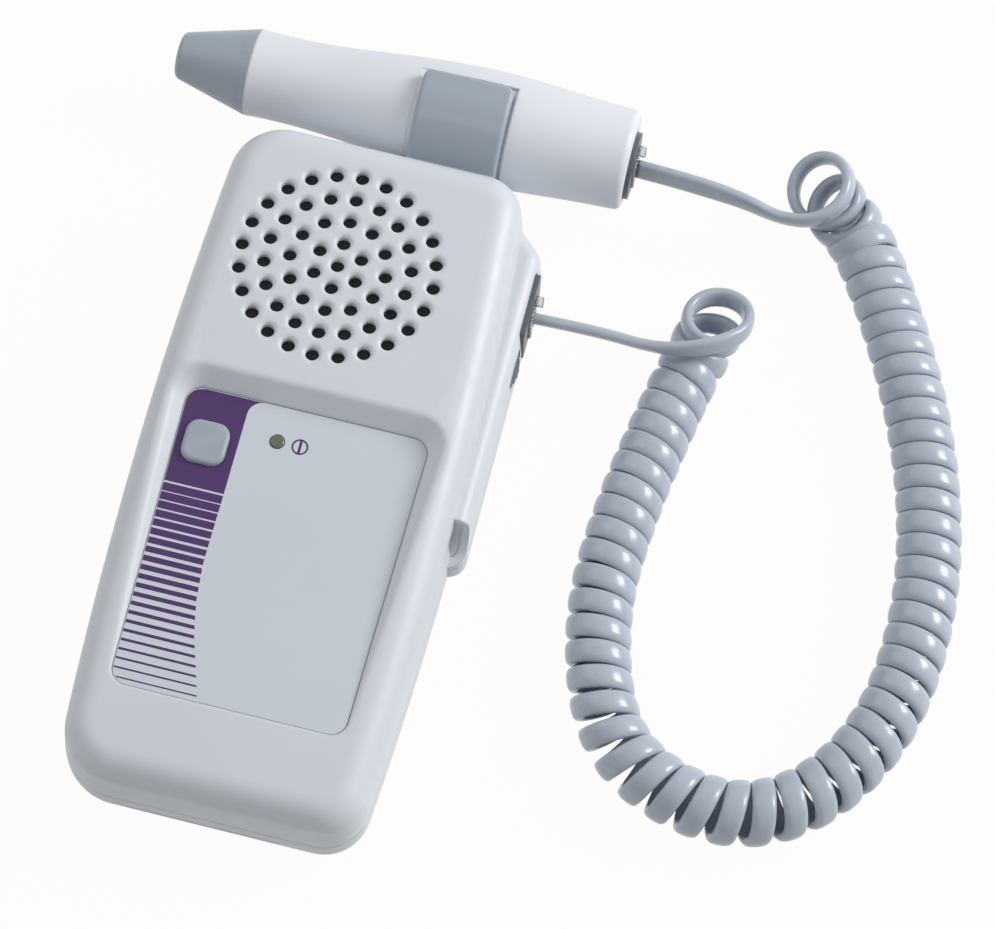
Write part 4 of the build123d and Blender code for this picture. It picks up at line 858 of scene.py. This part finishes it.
def studio_floor():
    """A floor that is nearly white as the camera sees it, and a matt grey to all other light."""
    material = bpy.data.materials.new("floor")
    material.use_nodes = True
    tree = material.node_tree
    out = tree.nodes["Material Output"]
    surface = tree.nodes["Principled BSDF"]
    surface.inputs["Base Color"].default_value = FLOOR_COLOUR
    surface.inputs["Roughness"].default_value = 0.9
    surface.inputs["Specular IOR Level"].default_value = 0.0
    glow = tree.nodes.new("ShaderNodeEmission")
    glow.inputs["Strength"].default_value = 1.0
    rays = tree.nodes.new("ShaderNodeLightPath")
    seen = tree.nodes.new("ShaderNodeMath")
    seen.operation = "MAXIMUM"
    seen_or_through = tree.nodes.new("ShaderNodeMath")
    seen_or_through.operation = "MAXIMUM"
    share = tree.nodes.new("ShaderNodeMath")
    share.operation = "MULTIPLY"
    share.inputs[1].default_value = FLOOR_GLOW
    mix = tree.nodes.new("ShaderNodeMixShader")
    link = tree.links.new
    link(rays.outputs["Is Camera Ray"], seen.inputs[0])
    link(rays.outputs["Is Glossy Ray"], seen.inputs[1])
    link(seen.outputs[0], seen_or_through.inputs[0])
    link(rays.outputs["Is Transmission Ray"], seen_or_through.inputs[1])
    link(seen_or_through.outputs[0], share.inputs[0])
    link(share.outputs[0], mix.inputs[0])
    link(surface.outputs[0], mix.inputs[1])
    link(glow.outputs[0], mix.inputs[2])
    link(mix.outputs[0], out.inputs["Surface"])
    signs = ((-1, -1), (1, -1), (1, 1), (-1, 1))
    corners = [(x * FLOOR_HALF, y * FLOOR_HALF, 0.0) for x, y in signs]
    mesh_object("floor", corners, [(0, 1, 2, 3)], material, smooth=False)


def studio_world():
    """Soft light from all round, behind which the camera sees plain white."""
    world = bpy.data.worlds.new("studio")
    world.use_nodes = True
    scene.world = world
    tree = world.node_tree
    sky = tree.nodes["Background"]
    sky.inputs["Color"].default_value = SKY_COLOUR
    sky.inputs["Strength"].default_value = SKY_STRENGTH
    bright = tree.nodes.new("ShaderNodeBackground")
    bright.inputs["Color"].default_value = (1.0, 1.0, 1.0, 1.0)
    rays = tree.nodes.new("ShaderNodeLightPath")
    pick = tree.nodes.new("ShaderNodeMixShader")
    tree.links.new(rays.outputs["Is Camera Ray"], pick.inputs[0])
    tree.links.new(sky.outputs[0], pick.inputs[1])
    tree.links.new(bright.outputs[0], pick.inputs[2])
    tree.links.new(pick.outputs[0], tree.nodes["World Output"].inputs["Surface"])


LIGHT_TARGET = (0.03, 0.02, 0.01)


def softbox(name, place, power, side):
    """A square light, in metres and watts, aimed at the object's middle."""
    data = bpy.data.lights.new(name, "AREA")
    data.shape = "RECTANGLE"
    data.size = side
    data.size_y = side
    data.energy = power
    light = bpy.data.objects.new(name, data)
    scene.collection.objects.link(light)
    light.location = place
    aim = Vector(LIGHT_TARGET) - Vector(place)
    light.rotation_euler = aim.to_track_quat("-Z", "Y").to_euler()


studio_floor()
studio_world()
softbox("key", (0.9, 0.5, 0.58), power=8.3, side=0.45)
softbox("fill", (-0.75, 0.25, 0.75), power=2.0, side=0.8)

scene.view_settings.view_transform = "Standard"
